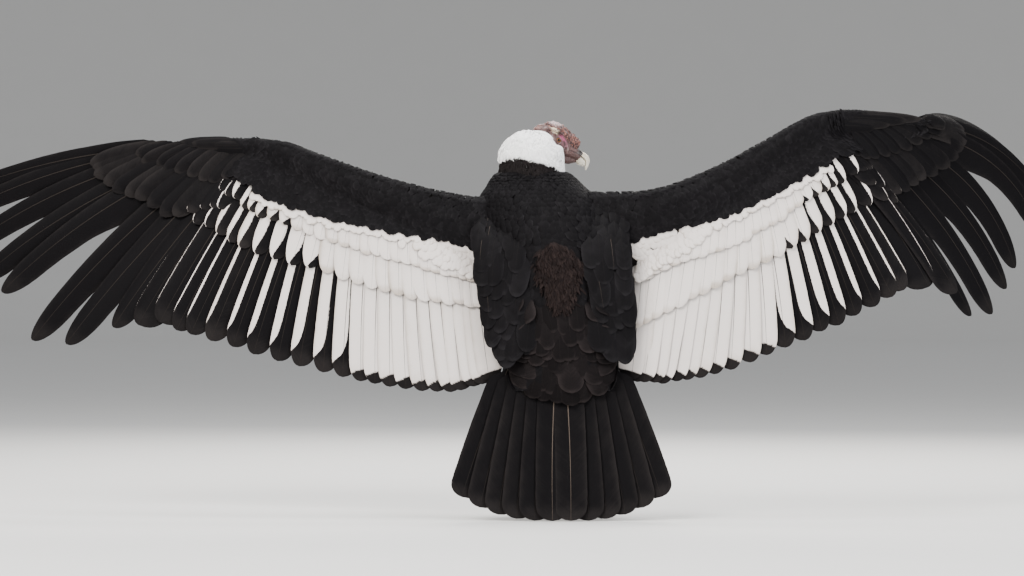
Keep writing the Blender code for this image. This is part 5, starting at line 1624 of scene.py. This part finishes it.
def ruff_tufts(white, black):
    """White down in a dome about the base of the neck, over a loose black collar."""
    for name, seed, count, low, high, is_white, near_edge in RUFF_LAYERS:
        coat = Coat(name, white if is_white else black, seed)
        draw = coat.draw
        polar = np.arccos(draw.uniform(math.cos(high), math.cos(low), count))
        turn = draw.uniform(-np.pi, np.pi, count)
        edge = ruff_edge(turn, draw)
        length = draw.uniform(0.20, 0.34, count)
        near = draw.uniform(0, 1, count) < near_edge
        length = np.where(near, length * 0.6, length)
        polar = np.where(near, edge - length - np.abs(draw.normal(0, 0.06, count)), polar)
        chosen = polar + length < edge if is_white else polar > edge - 0.17
        polar, turn, length, edge = polar[chosen], turn[chosen], length[chosen], edge[chosen]
        count = len(polar)
        drift = draw.normal(0, 0.10, count)
        clump = fractal(dome(polar, turn, 1.0)[0], 38.0, 2)
        swell = 1 + 0.040 * clump + 0.010 * draw.normal(0, 1, count)
        radius = 0.960 * (1.0 if is_white else np.clip(0.94 + 0.10 * (polar - 1.2), 0.9, 1.02)) * swell

        def bent(length, radius):
            """Middle and tip of each tuft, and the way that its tip faces."""
            middle, _ = dome(polar + length * 0.45, turn + drift * 0.4, radius)
            return (middle, *dome(polar + length, turn + drift, radius))

        root, facing = dome(polar, turn, RUFF_CORE * 0.98)
        middle, tip, _ = bent(length, radius)
        # About the face the down is short and lies on the core
        short = over_face(tip) | over_face(middle)
        length = np.where(short, 0.50 * length, length)
        middle, tip, facing_tip = bent(length, np.where(short, RUFF_CORE + 0.020, radius))
        out = stacked(np.cos(turn), np.sin(turn), 0.0)
        uv = stacked(0.02 + 0.96 * (turn / (2 * np.pi) + 0.5), 0.02 + 0.96 * polar / 2.4)
        wide = draw.uniform(0.0030, 0.0050, count)
        wide = wide * np.interp(np.abs(polar + length - edge), (0.0, 0.35), (0.75, 1.0))
        clear = ~short | is_white
        laid = (values[clear] for values in (root, middle, tip, facing, out, wide, uv, facing_tip))
        coat.lay(TUFT, *laid, camber=0.30, roll=13.0)
        coat.build()


def ruff_core():
    rings = []
    for polar in np.linspace(0.05, 1.9, 24):
        centre = RUFF_CENTRE + np.array((0, 0, math.cos(polar) * RUFF_RADIUS * RUFF_CORE))
        half = math.sin(polar) * RUFF_RADIUS * RUFF_CORE
        rings.append(oval(centre, (1, 0, 0), (0, -1, 0), half, half, 40))
    return loft(rings)


def make_body_skin(finish):
    bodies = [torso_skin()] + [Wing(side).skin() for side in WINGS]
    for sign in (-1, 1):
        bodies.append(loft(tube_rings(leg_path(THIGH_PATH, sign), THIGH_RADII, 24, 30, -0.005)))
    skin = remeshed("body_skin", bodies, BODY_VOXEL, finish, 3)
    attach(skin, "root")
    return skin


# Stage
def make_stage():
    """A pale floor that turns up far off, all the way round, into a plain backdrop."""
    sides = 64
    profile = [(0.01, 0.0), (4.0, 0.0), (12.0, 0.0), (STAGE_FLAT, 0.0)]
    profile += [(STAGE_FLAT + STAGE_BEND * math.sin(a), STAGE_BEND - STAGE_BEND * math.cos(a))
                for a in np.linspace(0.1, math.pi / 2, 12)]
    turn = 2 * np.pi * np.arange(sides) / sides
    points = np.array([(r * math.cos(a), r * math.sin(a), z) for r, z in profile for a in turn])
    quads = ring_quads(len(profile), sides)[:, ::-1]
    finish = plain("studio_floor", (0.74, 0.73, 0.71, 1), 0.85)
    floor = quads_mesh("studio_floor", points - SHIFT * (1, 1, 0), quads, finish)


def area_light(name, place, target, size, power, colour=(1, 1, 1)):
    light = bpy.data.lights.new(name, "AREA")
    light.shape = "RECTANGLE"
    light.size, light.size_y = size
    light.energy = power
    light.color = colour
    obj = bpy.data.objects.new(name, light)
    bpy.context.scene.collection.objects.link(obj)
    obj.location = Vector(place)
    obj.rotation_euler = (Vector(target) - Vector(place)).to_track_quat("-Z", "Y").to_euler()


def make_lights():
    middle = (0.0, 0.0, 0.55)
    area_light("key", (-2.6, -4.2, 3.8), middle, (3.2, 2.4), 440, (1.0, 0.98, 0.95))
    area_light("fill", (3.6, -3.6, 1.8), middle, (3.0, 2.6), 200, (0.93, 0.96, 1.0))
    area_light("top", (0.2, 0.4, 4.2), middle, (4.0, 3.0), 270)
    area_light("back", (0.6, 3.2, 2.6), middle, (3.6, 1.6), 140, (1.0, 0.96, 0.90))
    world = bpy.data.worlds.new("studio")
    world.use_nodes = True
    background = world.node_tree.nodes["Background"]
    background.inputs["Color"].default_value = (0.90, 0.92, 0.95, 1)
    background.inputs["Strength"].default_value = 0.55
    bpy.context.scene.world = world


def make_camera():
    camera = bpy.data.cameras.new("camera")
    camera.lens = CAMERA_LENS
    camera.sensor_width = SENSOR_WIDTH
    camera.clip_end = CAMERA_REACH
    obj = bpy.data.objects.new("camera", camera)
    bpy.context.scene.collection.objects.link(obj)
    obj.location = Vector(np.array(CAMERA_PLACE) + SHIFT)
    obj.rotation_euler = (math.radians(90), 0, 0)
    bpy.context.scene.camera = obj


def main():
    make_camera()
    make_stage()
    make_lights()
    vanes = plumage("vanes")
    soft = plumage("body_vanes", worn=(0.0165, 0.0150, 0.0165, 1), roughness=0.66, gloss=0.05, rims=0.32,
                   uneven=0.28)
    brown = plumage("rump_vanes", dark=(0.0070, 0.0048, 0.0048, 1), worn=(0.0240, 0.0160, 0.0145, 1),
                    roughness=0.8, gloss=0.06)
    rump_coverts = plumage("covert_vanes", dark=(0.0046, 0.0036, 0.0038, 1),
                           worn=(0.0185, 0.0145, 0.0145, 1), roughness=0.72, gloss=0.05, rims=0.5)
    white_down = down("white_down", (0.95, 0.94, 0.92, 1), (0.99, 0.98, 0.97, 1))
    black_down = down("black_down", (0.0045, 0.0038, 0.0040, 1), (0.0155, 0.0130, 0.0130, 1))
    skin = make_body_skin(body_skin())
    head = make_head(head_skin())
    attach(head, "root")
    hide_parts("head", "neck")
    points, quads = ruff_core()
    still = np.zeros(len(points))
    core = quads_mesh("ruff_core", points, quads, white_down, {"along": still, "tone": still})
    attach(core, "root")
    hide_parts("ruff")
    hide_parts("torso", "tail", "leg_left", "leg_right", "wing_left_arm", "wing_left_hand",
                "wing_right_arm", "wing_right_hand")
    for side in WINGS:
        wing = Wing(side)
        flight_feathers(wing, vanes)
        wing_coverts(wing, vanes)
        small_coverts(wing, soft)
        covert_border(wing, soft, vanes)
    torso_feathers(soft, brown)
    scapular_feathers(soft)
    tail_feathers(vanes)
    tail_coverts(rump_coverts)
    thigh_feathers(soft)
    ruff_tufts(white_down, black_down)
    make_comb(comb_skin())
    make_bill(horn("bill_horn", (0.52, 0.44, 0.33, 1), (0.80, 0.74, 0.62, 1)))
    make_eyes(eye_finish())
    make_feet(foot_skin(), horn("claw_horn", (0.10, 0.09, 0.085, 1), (0.030, 0.028, 0.027, 1), 0.4))


main()
